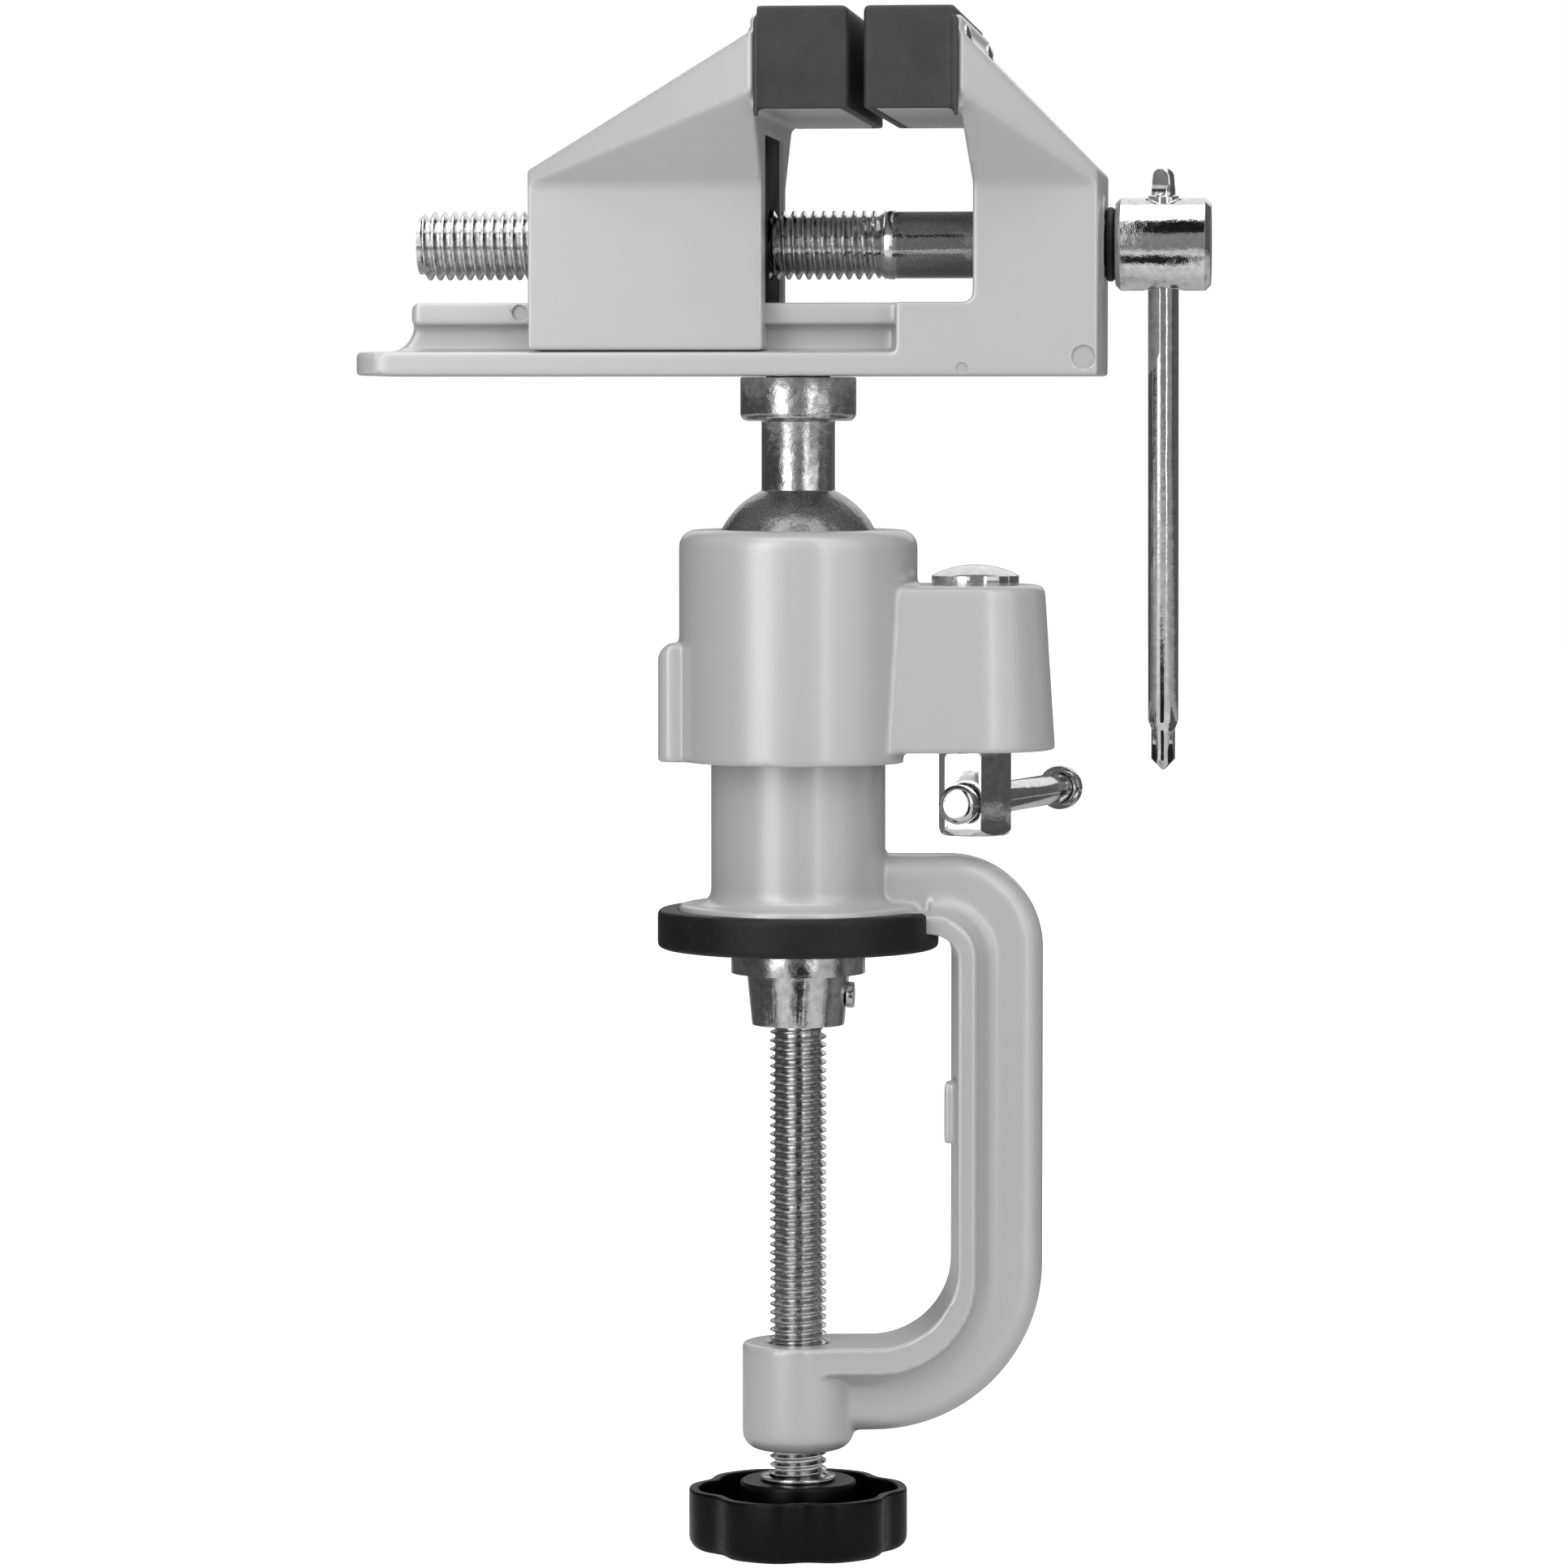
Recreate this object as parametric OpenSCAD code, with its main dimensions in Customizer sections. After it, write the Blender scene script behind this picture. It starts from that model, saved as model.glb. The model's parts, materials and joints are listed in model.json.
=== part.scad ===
// A bench vise on a ball joint, held to a table edge by a C-frame and a screw.
// Z is up and the rubber face that presses on the table top is at height zero.
// X runs along the jaws' travel, Y across the jaws. Sizes are in millimetres.

/* [Stance] */
// Turn of the C-frame's arm about the post, in degrees
arm_turn = 7.5; // [-20:0.5:20]
// Turn of the ball housing's ear about the post, in degrees
housing_turn = 5; // [-20:1:20]
// Turn of the lock bar in the lock nut, in degrees from X
lock_bar_turn = 72.6; // [60:0.1:90]
// Lean of the tommy bar about the lead screw, in degrees
tommy_lean = 6; // [0:0.5:30]

/* [C-frame] */
// Radius of the upright post
post_r = 15.25; // [14:0.05:16]
// Height of the post's top
post_top = 49; // [48:0.25:49.5]
// Radius of the disc under the post
disc_r = 20.9; // [19:0.1:23]
// Height of the disc's top
disc_top = 7.7; // [7:0.1:9]
// Distance from the screw's axis to the throat's upright wall
throat_reach = 27.4; // [26:0.1:36]
// Depth of the throat under the clamp face
throat_drop = 69.6; // [60:0.2:90]
// Depth of the arm's section, in the plane of the C
arm_depth = 15.5; // [14:0.1:18]
// Thickness of the arm's web
web_t = 10; // [8:0.5:12]
// Rounding of the web's outer edges
web_edge_r = 3.6; // [1:0.1:3.9]
// Width of the flange that lines the throat
flange_w = 19; // [18:0.5:24]
// Thickness of that flange
flange_t = 3.5; // [3:0.1:4.5]
// Thickness of the flange under the throat
flange_foot_t = 4.8; // [3:0.1:6]
// Radius of the hollow between the flange's back and the web
web_root_r = 4.3; // [1:0.1:4.5]
// Height of the arm's top where it leaves the post
arm_top = 16.4; // [15.5:0.1:18]
// Radius of the throat's upper corner
throat_upper_r = 4.5; // [3.5:0.1:5]
// Radius of the throat's lower corner
throat_lower_r = 14; // [10:0.5:18]
// Radius of the boss that the clamp screw is tapped through
nose_r = 9.8; // [8.5:0.1:12]
// Height of that boss
nose_h = 18.8; // [18:0.1:24]

/* [Rubber clamp pad] */
// Outer radius of the pad
pad_r = 24.6; // [23.7:0.1:27]
// Thickness of the pad under the disc
pad_floor = 2.8; // [2:0.1:3.5]
// Height of the pad's rim
pad_rim_h = 6.8; // [6:0.1:7.5]
// Half the width of the gap in the rim, where the arm passes
pad_gap_half = 10.6; // [10:0.1:13]

/* [Clamp screw] */
// Outer radius of the clamp screw's thread
clamp_screw_r = 5; // [4:0.1:5.5]
// Room between the boss and the knob's insert while the swivel pad is right up
knob_room = 4.8; // [3:0.1:12]
// Radius of the swivel pad's flange
swivel_r = 11.75; // [10:0.25:14]
// Thickness of that flange
swivel_flange_h = 4.4; // [3.4:0.1:6]
// Height of the swivel pad over all
swivel_h = 13.5; // [13:0.1:17]
// Radius of the swivel pad's skirt under its flange
skirt_r = 9; // [8.4:0.1:9.8]
// Radius of the lobed knob
knob_r = 19.2; // [17:0.1:24]
// Height of the knob's rim
knob_h = 10.7; // [8:0.1:13]
// Depth of the hollows between the knob's lobes
knob_hollow = 1.7; // [0.5:0.1:2.4]
// Number of lobes
knob_lobes = 6; // [5:1:8]
// Wall of the knob
knob_wall = 1.8; // [1.4:0.1:2.6]
// Radius of the knob's hub
hub_r = 10.2; // [9:0.1:12]

/* [Ball housing] */
// Outer radius of the barrel
barrel_r = 20.8; // [20:0.1:23]
// Height of the barrel's lower rim
barrel_z = 32.7; // [32.5:0.1:33.5]
// Height of the barrel's top
barrel_top = 73.1; // [72.5:0.1:74]
// Rounding of the barrel's top edge
barrel_edge_r = 3; // [1:0.1:4]
// Distance from the post's axis to the lock bolt
ear_reach = 30.9; // [30:0.1:36]
// Half the width of the ear at its top
ear_half = 12.2; // [12:0.1:14]
// Growth of that half width towards the ear's foot
ear_draft = 1.8; // [0:0.1:2.4]
// Height of the ear's top
ear_top = 63.5; // [61:0.1:66]
// Wall of the ear
ear_wall = 3; // [2.5:0.1:4]
// Distance that the heel boss stands out from the post's axis
heel_reach = 24.4; // [24:0.1:27]
// Half the width of the heel boss
heel_half = 6.7; // [6:0.1:8]
// Height of the heel boss's top
heel_top = 53.1; // [51:0.1:56]

/* [Ball joint] */
// Radius of the ball
ball_r = 15; // [14.8:0.02:15.1]
// Height of the ball's centre
ball_z = 66.3; // [66:0.05:66.8]
// Radius of the neck above the ball
neck_r = 6.4; // [5.5:0.1:7.5]
// Radius of the collar under the vise's bed
collar_r = 10.1; // [9:0.1:12]
// Height of the collar
collar_h = 7.6; // [6:0.1:9]
// Radius of the spigot that holds the bed
spigot_r = 5.5; // [4.5:0.1:6]

/* [Lock] */
// Radius of the lock bolt's shank
bolt_r = 4; // [3:0.1:4.2]
// Radius of the lock bolt's domed head
bolt_head_r = 7.6; // [7:0.1:9]
// Width of the lock nut across its flats
nut_flats = 11.7; // [11.4:0.1:13]
// Height of the lock nut's lower end
nut_z = 19.8; // [19:0.1:20.4]
// Radius of the lock bar
lock_bar_r = 2.75; // [2.2:0.05:2.9]
// Height of the lock bar's axis
lock_bar_z = 25.5; // [25:0.1:26]
// Reach of the lock bar's near end from the bolt's axis
lock_bar_near = 9.6; // [9:0.1:12]
// Reach of its far end
lock_bar_far = 45; // [36:0.5:47]

/* [Vise bed] */
// Height of the bed's underside
bed_z = 99.8; // [99:0.1:101]
// Width of the bed and of the jaws' bodies
bed_w = 42; // [38:0.5:48]
// Thickness of the bed's base
base_t = 4.1; // [3.5:0.1:5]
// Distance from the ball's axis to the bed's free end
bed_left = 75.2; // [72:0.2:90]
// Distance from the ball's axis to the outer face of the fixed jaw
bed_right = 53; // [52:0.2:56]
// Distance from the ball's axis to the end of the rail
rail_left = 65.8; // [60:0.2:68]
// Width of the rail's head
rail_w = 30; // [28:0.2:31]
// Width of the rail's web
rail_web_w = 24; // [20:0.5:25]
// Height of the rail's web
rail_web_h = 4.6; // [4:0.1:6]
// Height of the rail's head
rail_head_h = 3.8; // [3:0.1:4.5]
// Distance from the ball's axis to the low block of the fixed jaw
block_x = 18.6; // [16:0.2:24]

/* [Jaws] */
// Width of the jaws
jaw_w = 75; // [66:1:90]
// Distance from the ball's axis to the moving jaw's inner plane
moving_plane = 4.2; // [3.8:0.1:4.6]
// Distance from the ball's axis to the fixed jaw's inner plane
fixed_plane = 30.4; // [30.2:0.1:31.4]
// Length of the moving jaw's body
moving_len = 40.4; // [36:0.2:46]
// Height where the jaws' bodies start to spread
spread_z = 132.4; // [131:0.1:134]
// Rise of the spread from there to the jaw faces' lower edge
spread_h = 11.9; // [11:0.1:13]
// Rise of the roofs' outer edge above the start of the spread
eave_h = 2.4; // [1.8:0.1:5]
// Rise of the roofs' upper edge above the jaw faces' lower edge
ridge_h = 13.3; // [12.5:0.1:15]
// Rise of the spread jaw's lower edge at its ends above the jaw faces' lower edge
wing_h = 3; // [1:0.2:5]
// Height of a jaw face
face_h = 17.2; // [16.8:0.1:19]
// Distance that a jaw face stands out from its jaw plane
face_reach = 16; // [12:0.1:16.4]
// Thickness of the rubber on the jaws
rubber_t = 1.5; // [1:0.1:2]

/* [Lead screw] */
// Outer radius of the lead screw's thread
lead_r = 6; // [5:0.1:6.2]
// Height of the lead screw's axis
lead_z = 122.5; // [122:0.1:123]
// Distance from the ball's axis to the lead screw's free end
lead_left = 66.4; // [62:0.2:80]
// Distance from the ball's axis to the end of the thread
thread_right = 15.2; // [12:0.2:20]
// Radius of the plain shank
shank_r = 5.8; // [5:0.1:6]
// Radius of the screw's head
head_r = 8; // [7:0.1:10]
// Length of the head
head_len = 16.4; // [14:0.1:20]
// Radius of the tommy bar
tommy_r = 2.85; // [2.4:0.05:3.2]
// Length of the tommy bar's end above the screw's axis
tommy_up = 13; // [13:0.5:30]
// Length of the tommy bar's end below the screw's axis
tommy_down = 92; // [60:0.5:94]

/* [Hidden] */
$fn = 72;

// Overrun of every cut
over = 1;
// Radial room of a shaft that turns or slides in its bore
run_gap = 0.08;
// Radial room of a piece that is pressed or screwed into its seat
seat_gap = 0.03;
// Room between flat guides
slide_gap = 0.2;
// Room between curved faces that only pass each other
pass_gap = 0.3;
// Room over a face that a moving piece rests against
rest_gap = 0.1;
// Number of steps in an arc drawn as points
arc_steps = 4;

paint = [0.74, 0.75, 0.75];
chrome_steel = [0.82, 0.83, 0.84];
zinc_steel = [0.7, 0.7, 0.68];
dark_steel = [0.42, 0.42, 0.4];
rubber_black = [0.16, 0.16, 0.16];
knob_black = [0.1, 0.1, 0.1];

// C-frame, worked out
arm_outer = throat_reach + arm_depth;
upper_cx = arm_outer - arm_top;
lower_cx = throat_reach - throat_lower_r;
lower_cz = -throat_drop + throat_lower_r;
root_corner_z = lower_cz + flange_t - flange_foot_t;
disc_fillet_r = 2.5;
disc_edge_r = 0.9;
nose_edge_r = 3;

// Clamp pad, worked out
pad_edge_r = 0.8;

// Yoke that draws the housing down on the post
yoke_t = 5;
groove_r = 8;
flange_h = 4.1;
groove_top = post_top - flange_h;
yoke_z = groove_top - pass_gap - yoke_t;
groove_z = yoke_z - 2 * pass_gap;
yoke_hub_gap = 0.9;
yoke_hub_r = post_r - yoke_hub_gap;
yoke_toe_r = 8.4;
yoke_arm_half = 7.5;
yoke_heel_half = 3.9;
heel_wall = 2;
heel_room = 0.4;
yoke_heel_end = heel_reach - heel_wall - heel_room;
yoke_pin_r = 1.8;
yoke_pin_inset = 2.4;
yoke_pin_x = yoke_heel_end - yoke_pin_inset;
yoke_pin_z = yoke_z - yoke_pin_r;
yoke_pin_wall = 1;

// Seat under the ball
seat_edge_gap = 0.7;
seat_r = post_r - seat_edge_gap;
seat_land = 10.3;
seat_top = ball_z - seat_land;
seat_spigot_r = 4;
seat_spigot_h = 4.5;

// Housing, worked out
bore_r = post_r + run_gap;
socket_r = ball_r + run_gap;
ear_edge_r = 1.5;
ear_lift = 2;
ear_z = barrel_z + ear_lift;
heel_edge_r = 2.5;
cavity_half = ear_half - ear_wall;
cavity_top = ear_top - 2 * ear_wall;
passage_room = 2;
passage_top = yoke_z + yoke_t + passage_room;
passage_start = 12;
cavity_wall = 1.5;
cavity_start = barrel_r + cavity_wall;

// Lock, worked out
neck_square = 8;
neck_square_h = 3.6;
head_rim_h = 1.6;
head_dome_h = 1.9;
nut_top = yoke_z - rest_gap;
bolt_end_gap = 1.4;
bolt_end = lock_bar_z + lock_bar_r + bolt_end_gap;
near_cap_r = 3.45;
far_cap_r = 3.95;
cap_len = 2.8;
cap_socket = 1.4;

// Ball stud, worked out
collar_edge_r = 1.4;
collar_top = bed_z - slide_gap;
spigot_len = 7.6;

// Bed and jaws, worked out
face_z = spread_z + spread_h;
face_top = face_z + face_h;
roof_low = spread_z + eave_h;
roof_high = face_z + ridge_h;
wing_z = face_z + wing_h;
base_top = bed_z + base_t;
rail_head_z = base_top + rail_web_h;
rail_top = rail_head_z + rail_head_h;
base_corner_r = 6;
base_lip_r = 1.4;
rail_corner_r = 1.3;
upright_lean = 1.3;
upright_x = fixed_plane + upright_lean;
upright_len = bed_right - upright_x;
window_fillet_r = 1.5;
recess_r = 2;
face_boss_r = 8;
face_boss_h = 0.4;
lead_hole_r = lead_r + run_gap;
wing_inset = 0.2;
wing_half = jaw_w / 2 - wing_inset;
head_block_reach = face_reach - rubber_t - seat_gap;
head_block_half = jaw_w / 2 - rubber_t - seat_gap;
head_block_top = face_top - rubber_t - seat_gap;
cap_back = 0.1;
cap_flange_t = 0.8;
cap_flange_lip = 0.6;
cap_foot = 1.4;
cap_edge_r = 0.9;
cap_screw_inset = 8;
cap_screw_y = jaw_w / 2 - cap_screw_inset;
cap_screw_drop = 1.2;
cap_screw_z = roof_high - cap_screw_drop;
cap_screw_r = 1.45;
cap_screw_len = 8;
cap_head_r = 2.4;
cap_head_h = 1.2;
cap_screw_stand = 0.6;

// Moving jaw, worked out
cavity_w = 30;
cavity_back_wall = 4;
cavity_roof_t = 3.2;
guide_top = rail_top + slide_gap;
nut_w = 19;
nut_len = 10;
nut_front = 7;
nut_frame_t = 3;
cover_t = 2;
cover_inset = 0.5;

// Keeper pin that holds the lead screw in the fixed jaw
keeper_r = 2;
keeper_x = (upright_x + bed_right) / 2;
keeper_groove_depth = 1.7;
keeper_groove_r = shank_r - keeper_groove_depth;
keeper_y = keeper_groove_r + pass_gap + keeper_r;
keeper_reach = 5;
keeper_top = lead_z + keeper_reach;

// Lead screw's head, worked out
ring_t = 1.8;
ring_r = 5.5;
head_x = bed_right + face_boss_h + ring_t;
head_neck_r = ring_r - ring_t / 2;
head_chamfer = 0.9;
end_chamfer = 1.2;
tommy_x = head_x + head_len / 2;
tommy_dish = 0.9;

// Tommy bar's ends
blade_len = 6;
blade_w = 4;
blade_t = 1.2;
cross_len = 8.8;
cross_r = 2.25;
cross_taper = 1.6;
cross_point = 1.9;
cross_blade = 1.5;
cross_core_r = 1.25;
cross_land = 0.12;
cross_tip_r = cross_r - cross_land;

// Clamp screw, worked out
swivel_top = -rest_gap;
skirt_taper = 0.9;
insert_flange_r = 6.6;
insert_flange_h = 0.8;
insert_r = 6.1;
insert_len = 7.5;
tip_step = 1;
tip_r = clamp_screw_r - tip_step;
tip_groove_depth = 1.2;
tip_groove_r = tip_r - tip_groove_depth;
tip_groove_h = 3;
tip_top = -swivel_flange_h;
swivel_pin_z = -8.3;
swivel_pin_r = 1.2;
swivel_pin_head_r = 2.3;
swivel_pin_head_h = 1.3;
swivel_pin_seat = skirt_r - skirt_taper / 2;
hub_rise = 1.3;
hub_top = -throat_drop - nose_h - knob_room - insert_flange_h;
knob_base = hub_top - hub_rise - knob_h;
screw_end = hub_top - insert_len + pass_gap;
knob_floor = 2.4;
knob_edge = 1.6;
knob_steps = 12;
knob_phase = 10;

// Points along an arc about a centre
function arc_points(centre, r, from, to, steps) =
    [for (i = [0:steps]) centre + r * [cos(from + (to - from) * i / steps), sin(from + (to - from) * i / steps)]];

// A profile drawn in Y and Z, run along X between two places
module along_x(x0, x1) {
    translate([x0, 0, 0]) rotate([90, 0, 90]) linear_extrude(x1 - x0) children();
}

// A profile drawn in X and Z, run along Y, centred on the middle plane
module along_y(width) {
    rotate([90, 0, 0]) linear_extrude(width, center = true) children();
}

// A square corner's fillet, filling towards the origin
module fillet(r) {
    difference() {
        square(r);
        translate([r, r]) circle(r);
    }
}

// A rectangle from the origin with rounded corners on its far right
module round_end(length, width, r) {
    translate([0, -width / 2]) square([length - r, width]);
    translate([0, -width / 2 + r]) square([length, width - 2 * r]);
    for (side = [-1, 1]) translate([length - r, side * (width / 2 - r)]) circle(r);
}

// Section of the C-frame's web, from its inner to its outer edge
module web_section(inner, outer) {
    translate([inner, 0]) round_end(outer - inner, web_t, web_edge_r);
}

// Hollows between the web's two faces and the flange's back
module web_roots(back) {
    for (side = [0, 1]) mirror([0, side]) translate([back, web_t / 2]) fillet(web_root_r);
}

// Outline of the throat in X and Z, grown by the flange that lines its sides and its foot
module throat_outline(side_t, foot_t) {
    right = throat_reach + side_t;
    top = pad_floor + side_t;
    bottom = -throat_drop - foot_t;
    upper_r = throat_upper_r + side_t;
    lower_r = throat_lower_r + side_t;
    corner_z = bottom + lower_r;
    translate([0, corner_z]) square([right, top - upper_r - corner_z]);
    translate([0, corner_z]) square([right - upper_r, top - corner_z]);
    translate([right - upper_r, top - upper_r]) circle(upper_r);
    translate([0, bottom]) square([right - lower_r, corner_z - bottom]);
    intersection() {
        translate([right - lower_r, bottom]) square(lower_r);
        translate([right - lower_r, corner_z]) circle(lower_r);
    }
}

// The arm of the C: a web along the outside and a flange round the throat
module c_arm() {
    corner_core = flange_t * 0.85;
    upper_z = pad_floor - throat_upper_r;
    along_x(0, upper_cx) rotate(90) web_section(pad_floor, arm_top);
    translate([upper_cx, 0, 0]) rotate([90, 0, 0])
        rotate_extrude(angle = 90) web_section(corner_core, arm_top);
    translate([0, 0, lower_cz]) linear_extrude(-lower_cz) web_section(throat_reach, arm_outer);
    translate([lower_cx, 0, lower_cz]) rotate([90, 0, 0]) rotate([0, 0, -90])
        rotate_extrude(angle = 90) web_section(throat_lower_r, throat_lower_r + arm_depth);
    translate([lower_cx, 0, 0]) rotate([0, 0, 180])
        along_x(0, lower_cx) rotate(-90) web_section(throat_drop, throat_drop + arm_depth);
    along_y(flange_w) difference() {
        throat_outline(flange_t, flange_foot_t);
        throat_outline(0, 0);
    }
    translate([throat_reach - throat_upper_r, 0, upper_z]) rotate([90, 0, 0])
        rotate_extrude(angle = 90) web_roots(throat_upper_r + flange_t);
    translate([0, 0, root_corner_z]) linear_extrude(upper_z - root_corner_z) web_roots(throat_reach + flange_t);
    translate([lower_cx, 0, root_corner_z]) rotate([90, 0, 0]) rotate([0, 0, -90])
        rotate_extrude(angle = 90) web_roots(throat_lower_r + flange_t);
    translate([lower_cx, 0, 0]) rotate([0, 0, 180])
        along_x(0, lower_cx) rotate(-90) web_roots(throat_drop + flange_foot_t);
}

// The post, the disc under it and the fillet between them
module post_and_disc() {
    translate([0, 0, pad_floor]) cylinder(r = disc_r, h = disc_top - pad_floor - disc_edge_r);
    translate([0, 0, pad_floor]) cylinder(r = disc_r - disc_edge_r, h = disc_top - pad_floor);
    rotate_extrude() translate([disc_r - disc_edge_r, disc_top - disc_edge_r])
        intersection() {
            circle(disc_edge_r);
            square(disc_edge_r);
        }
    translate([0, 0, pad_floor]) cylinder(r = post_r, h = post_top - pad_floor);
    rotate_extrude() translate([post_r, disc_top]) fillet(disc_fillet_r);
}

module c_frame() {
    color(paint) rotate([0, 0, arm_turn]) difference() {
        union() {
            post_and_disc();
            c_arm();
            translate([0, 0, -throat_drop - nose_h]) {
                translate([0, 0, nose_edge_r]) cylinder(r = nose_r, h = nose_h - nose_edge_r);
                cylinder(r = nose_r - nose_edge_r, h = nose_h);
                rotate_extrude() translate([nose_r - nose_edge_r, nose_edge_r])
                    intersection() {
                        circle(nose_edge_r);
                        translate([0, -nose_edge_r]) square(nose_edge_r);
                    }
            }
        }
        // Thread for the clamp screw
        translate([0, 0, -throat_drop - nose_h - over])
            cylinder(r = clamp_screw_r + run_gap, h = nose_h + 2 * over);
        // Groove for the yoke, under the post's head
        translate([0, 0, groove_z]) difference() {
            cylinder(r = post_r + over, h = groove_top - groove_z);
            cylinder(r = groove_r, h = groove_top - groove_z);
        }
        // Hole for the ball seat's spigot
        translate([0, 0, post_top - seat_spigot_h - rest_gap])
            cylinder(r = seat_spigot_r + seat_gap, h = seat_spigot_h + rest_gap + over);
    }
}

module clamp_pad_cap() {
    color(rubber_black) rotate([0, 0, arm_turn]) difference() {
        rotate_extrude() {
            square([pad_r - pad_edge_r, pad_rim_h]);
            translate([0, pad_edge_r]) square([pad_r, pad_rim_h - 2 * pad_edge_r]);
            for (at = [pad_edge_r, pad_rim_h - pad_edge_r])
                translate([pad_r - pad_edge_r, at]) circle(pad_edge_r);
        }
        translate([0, 0, pad_floor]) cylinder(r = disc_r + seat_gap, h = pad_rim_h);
        translate([0, -pad_gap_half, pad_floor]) cube([pad_r + over, 2 * pad_gap_half, pad_rim_h]);
    }
}

module ball_seat() {
    color(zinc_steel) difference() {
        union() {
            translate([0, 0, post_top]) cylinder(r = seat_r, h = seat_top - post_top);
            translate([0, 0, post_top - seat_spigot_h]) cylinder(r = seat_spigot_r, h = seat_spigot_h + over);
        }
        translate([0, 0, ball_z]) sphere(ball_r + pass_gap);
    }
}

// Half of the ear's section, from its middle plane outwards
function ear_half_points(foot, top) = concat(
    [[0, foot], [ear_half + ear_draft, foot]],
    arc_points([ear_half - ear_edge_r, top - ear_edge_r], ear_edge_r, 0, 90, arc_steps),
    [[0, top]]);

module ear() {
    outline = ear_half_points(ear_z, ear_top);
    along_x(0, ear_reach) {
        polygon(outline);
        mirror([1, 0]) polygon(outline);
    }
    translate([ear_reach, 0, 0]) rotate([0, 0, -90]) rotate_extrude(angle = 180) polygon(outline);
}

module heel_boss() {
    depth = heel_reach - passage_start - heel_edge_r;
    intersection() {
        translate([0, 0, barrel_z]) linear_extrude(heel_top - barrel_z)
            mirror([1, 0]) translate([passage_start + heel_edge_r, 0])
                round_end(depth, 2 * heel_half, heel_edge_r);
        along_y(2 * heel_half + 2 * over) translate([0, barrel_z]) mirror([1, 0]) {
            square([heel_reach - heel_edge_r, heel_top - barrel_z]);
            square([heel_reach, heel_top - barrel_z - heel_edge_r]);
            translate([heel_reach - heel_edge_r, heel_top - barrel_z - heel_edge_r]) circle(heel_edge_r);
        }
    }
}

module ball_housing() {
    height = barrel_top - barrel_z;
    color(paint) rotate([0, 0, housing_turn]) difference() {
        union() {
            translate([0, 0, barrel_z]) rotate_extrude() {
                square([barrel_r, height - barrel_edge_r]);
                square([barrel_r - barrel_edge_r, height]);
                translate([barrel_r - barrel_edge_r, height - barrel_edge_r]) intersection() {
                    circle(barrel_edge_r);
                    square(barrel_edge_r);
                }
            }
            ear();
            heel_boss();
        }
        translate([0, 0, barrel_z - over]) cylinder(r = bore_r, h = ball_z - barrel_z + over);
        translate([0, 0, ball_z]) sphere(socket_r);
        // Hollow of the ear and the way through the barrel's wall for the yoke
        translate([cavity_start, -cavity_half, ear_z - over])
            cube([ear_reach - cavity_start, 2 * cavity_half, cavity_top - ear_z + over]);
        translate([ear_reach, 0, ear_z - over]) cylinder(r = cavity_half, h = cavity_top - ear_z + over);
        translate([passage_start, -cavity_half, barrel_z - over])
            cube([cavity_start - passage_start + over, 2 * cavity_half, passage_top - barrel_z + over]);
        translate([ear_reach - neck_square / 2 - run_gap, -neck_square / 2 - run_gap, cavity_top - over])
            cube([neck_square + 2 * run_gap, neck_square + 2 * run_gap, ear_top - cavity_top + 2 * over]);
        // Pocket for the yoke's heel, and the blind hole for its pin
        translate([-heel_reach + heel_wall, -yoke_heel_half - heel_room, barrel_z - over])
            cube([heel_reach - passage_start, 2 * (yoke_heel_half + heel_room), passage_top - barrel_z + over]);
        translate([-yoke_pin_x, heel_half + over, yoke_pin_z]) rotate([90, 0, 0])
            cylinder(r = yoke_pin_r + seat_gap, h = 2 * heel_half - yoke_pin_wall + over);
    }
}

module lock_yoke() {
    color(dark_steel) rotate([0, 0, housing_turn]) translate([0, 0, yoke_z]) linear_extrude(yoke_t)
        difference() {
            union() {
                circle(yoke_hub_r);
                translate([-yoke_heel_end, -yoke_heel_half]) square([yoke_heel_end, 2 * yoke_heel_half]);
                translate([0, -yoke_arm_half]) square([ear_reach, 2 * yoke_arm_half]);
                translate([ear_reach, 0]) circle(yoke_toe_r);
            }
            circle(groove_r + pass_gap);
            translate([-groove_r - pass_gap, 0]) square([2 * (groove_r + pass_gap), yoke_hub_r + over]);
            translate([ear_reach, 0]) circle(bolt_r + pass_gap);
        }
}

module yoke_pin() {
    color(zinc_steel) rotate([0, 0, housing_turn])
        translate([-yoke_pin_x, heel_half, yoke_pin_z]) rotate([90, 0, 0])
            cylinder(r = yoke_pin_r, h = 2 * heel_half - yoke_pin_wall - rest_gap);
}

module lock_bolt() {
    dome_r = (bolt_head_r * bolt_head_r + head_dome_h * head_dome_h) / (2 * head_dome_h);
    color(chrome_steel) rotate([0, 0, housing_turn]) translate([ear_reach, 0, 0]) {
        translate([0, 0, ear_top]) {
            cylinder(r = bolt_head_r, h = head_rim_h);
            intersection() {
                cylinder(r = bolt_head_r, h = head_rim_h + head_dome_h);
                translate([0, 0, head_rim_h + head_dome_h - dome_r]) sphere(dome_r);
            }
        }
        translate([-neck_square / 2, -neck_square / 2, ear_top - neck_square_h])
            cube([neck_square, neck_square, neck_square_h + head_rim_h / 2]);
        translate([0, 0, bolt_end]) cylinder(r = bolt_r, h = ear_top - bolt_end);
    }
}

// Things on the lock bar are drawn along X and turned to the bar's direction
module at_lock_bar() {
    rotate([0, 0, housing_turn]) translate([ear_reach, 0, lock_bar_z])
        rotate([0, 0, lock_bar_turn - housing_turn]) children();
}

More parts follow.
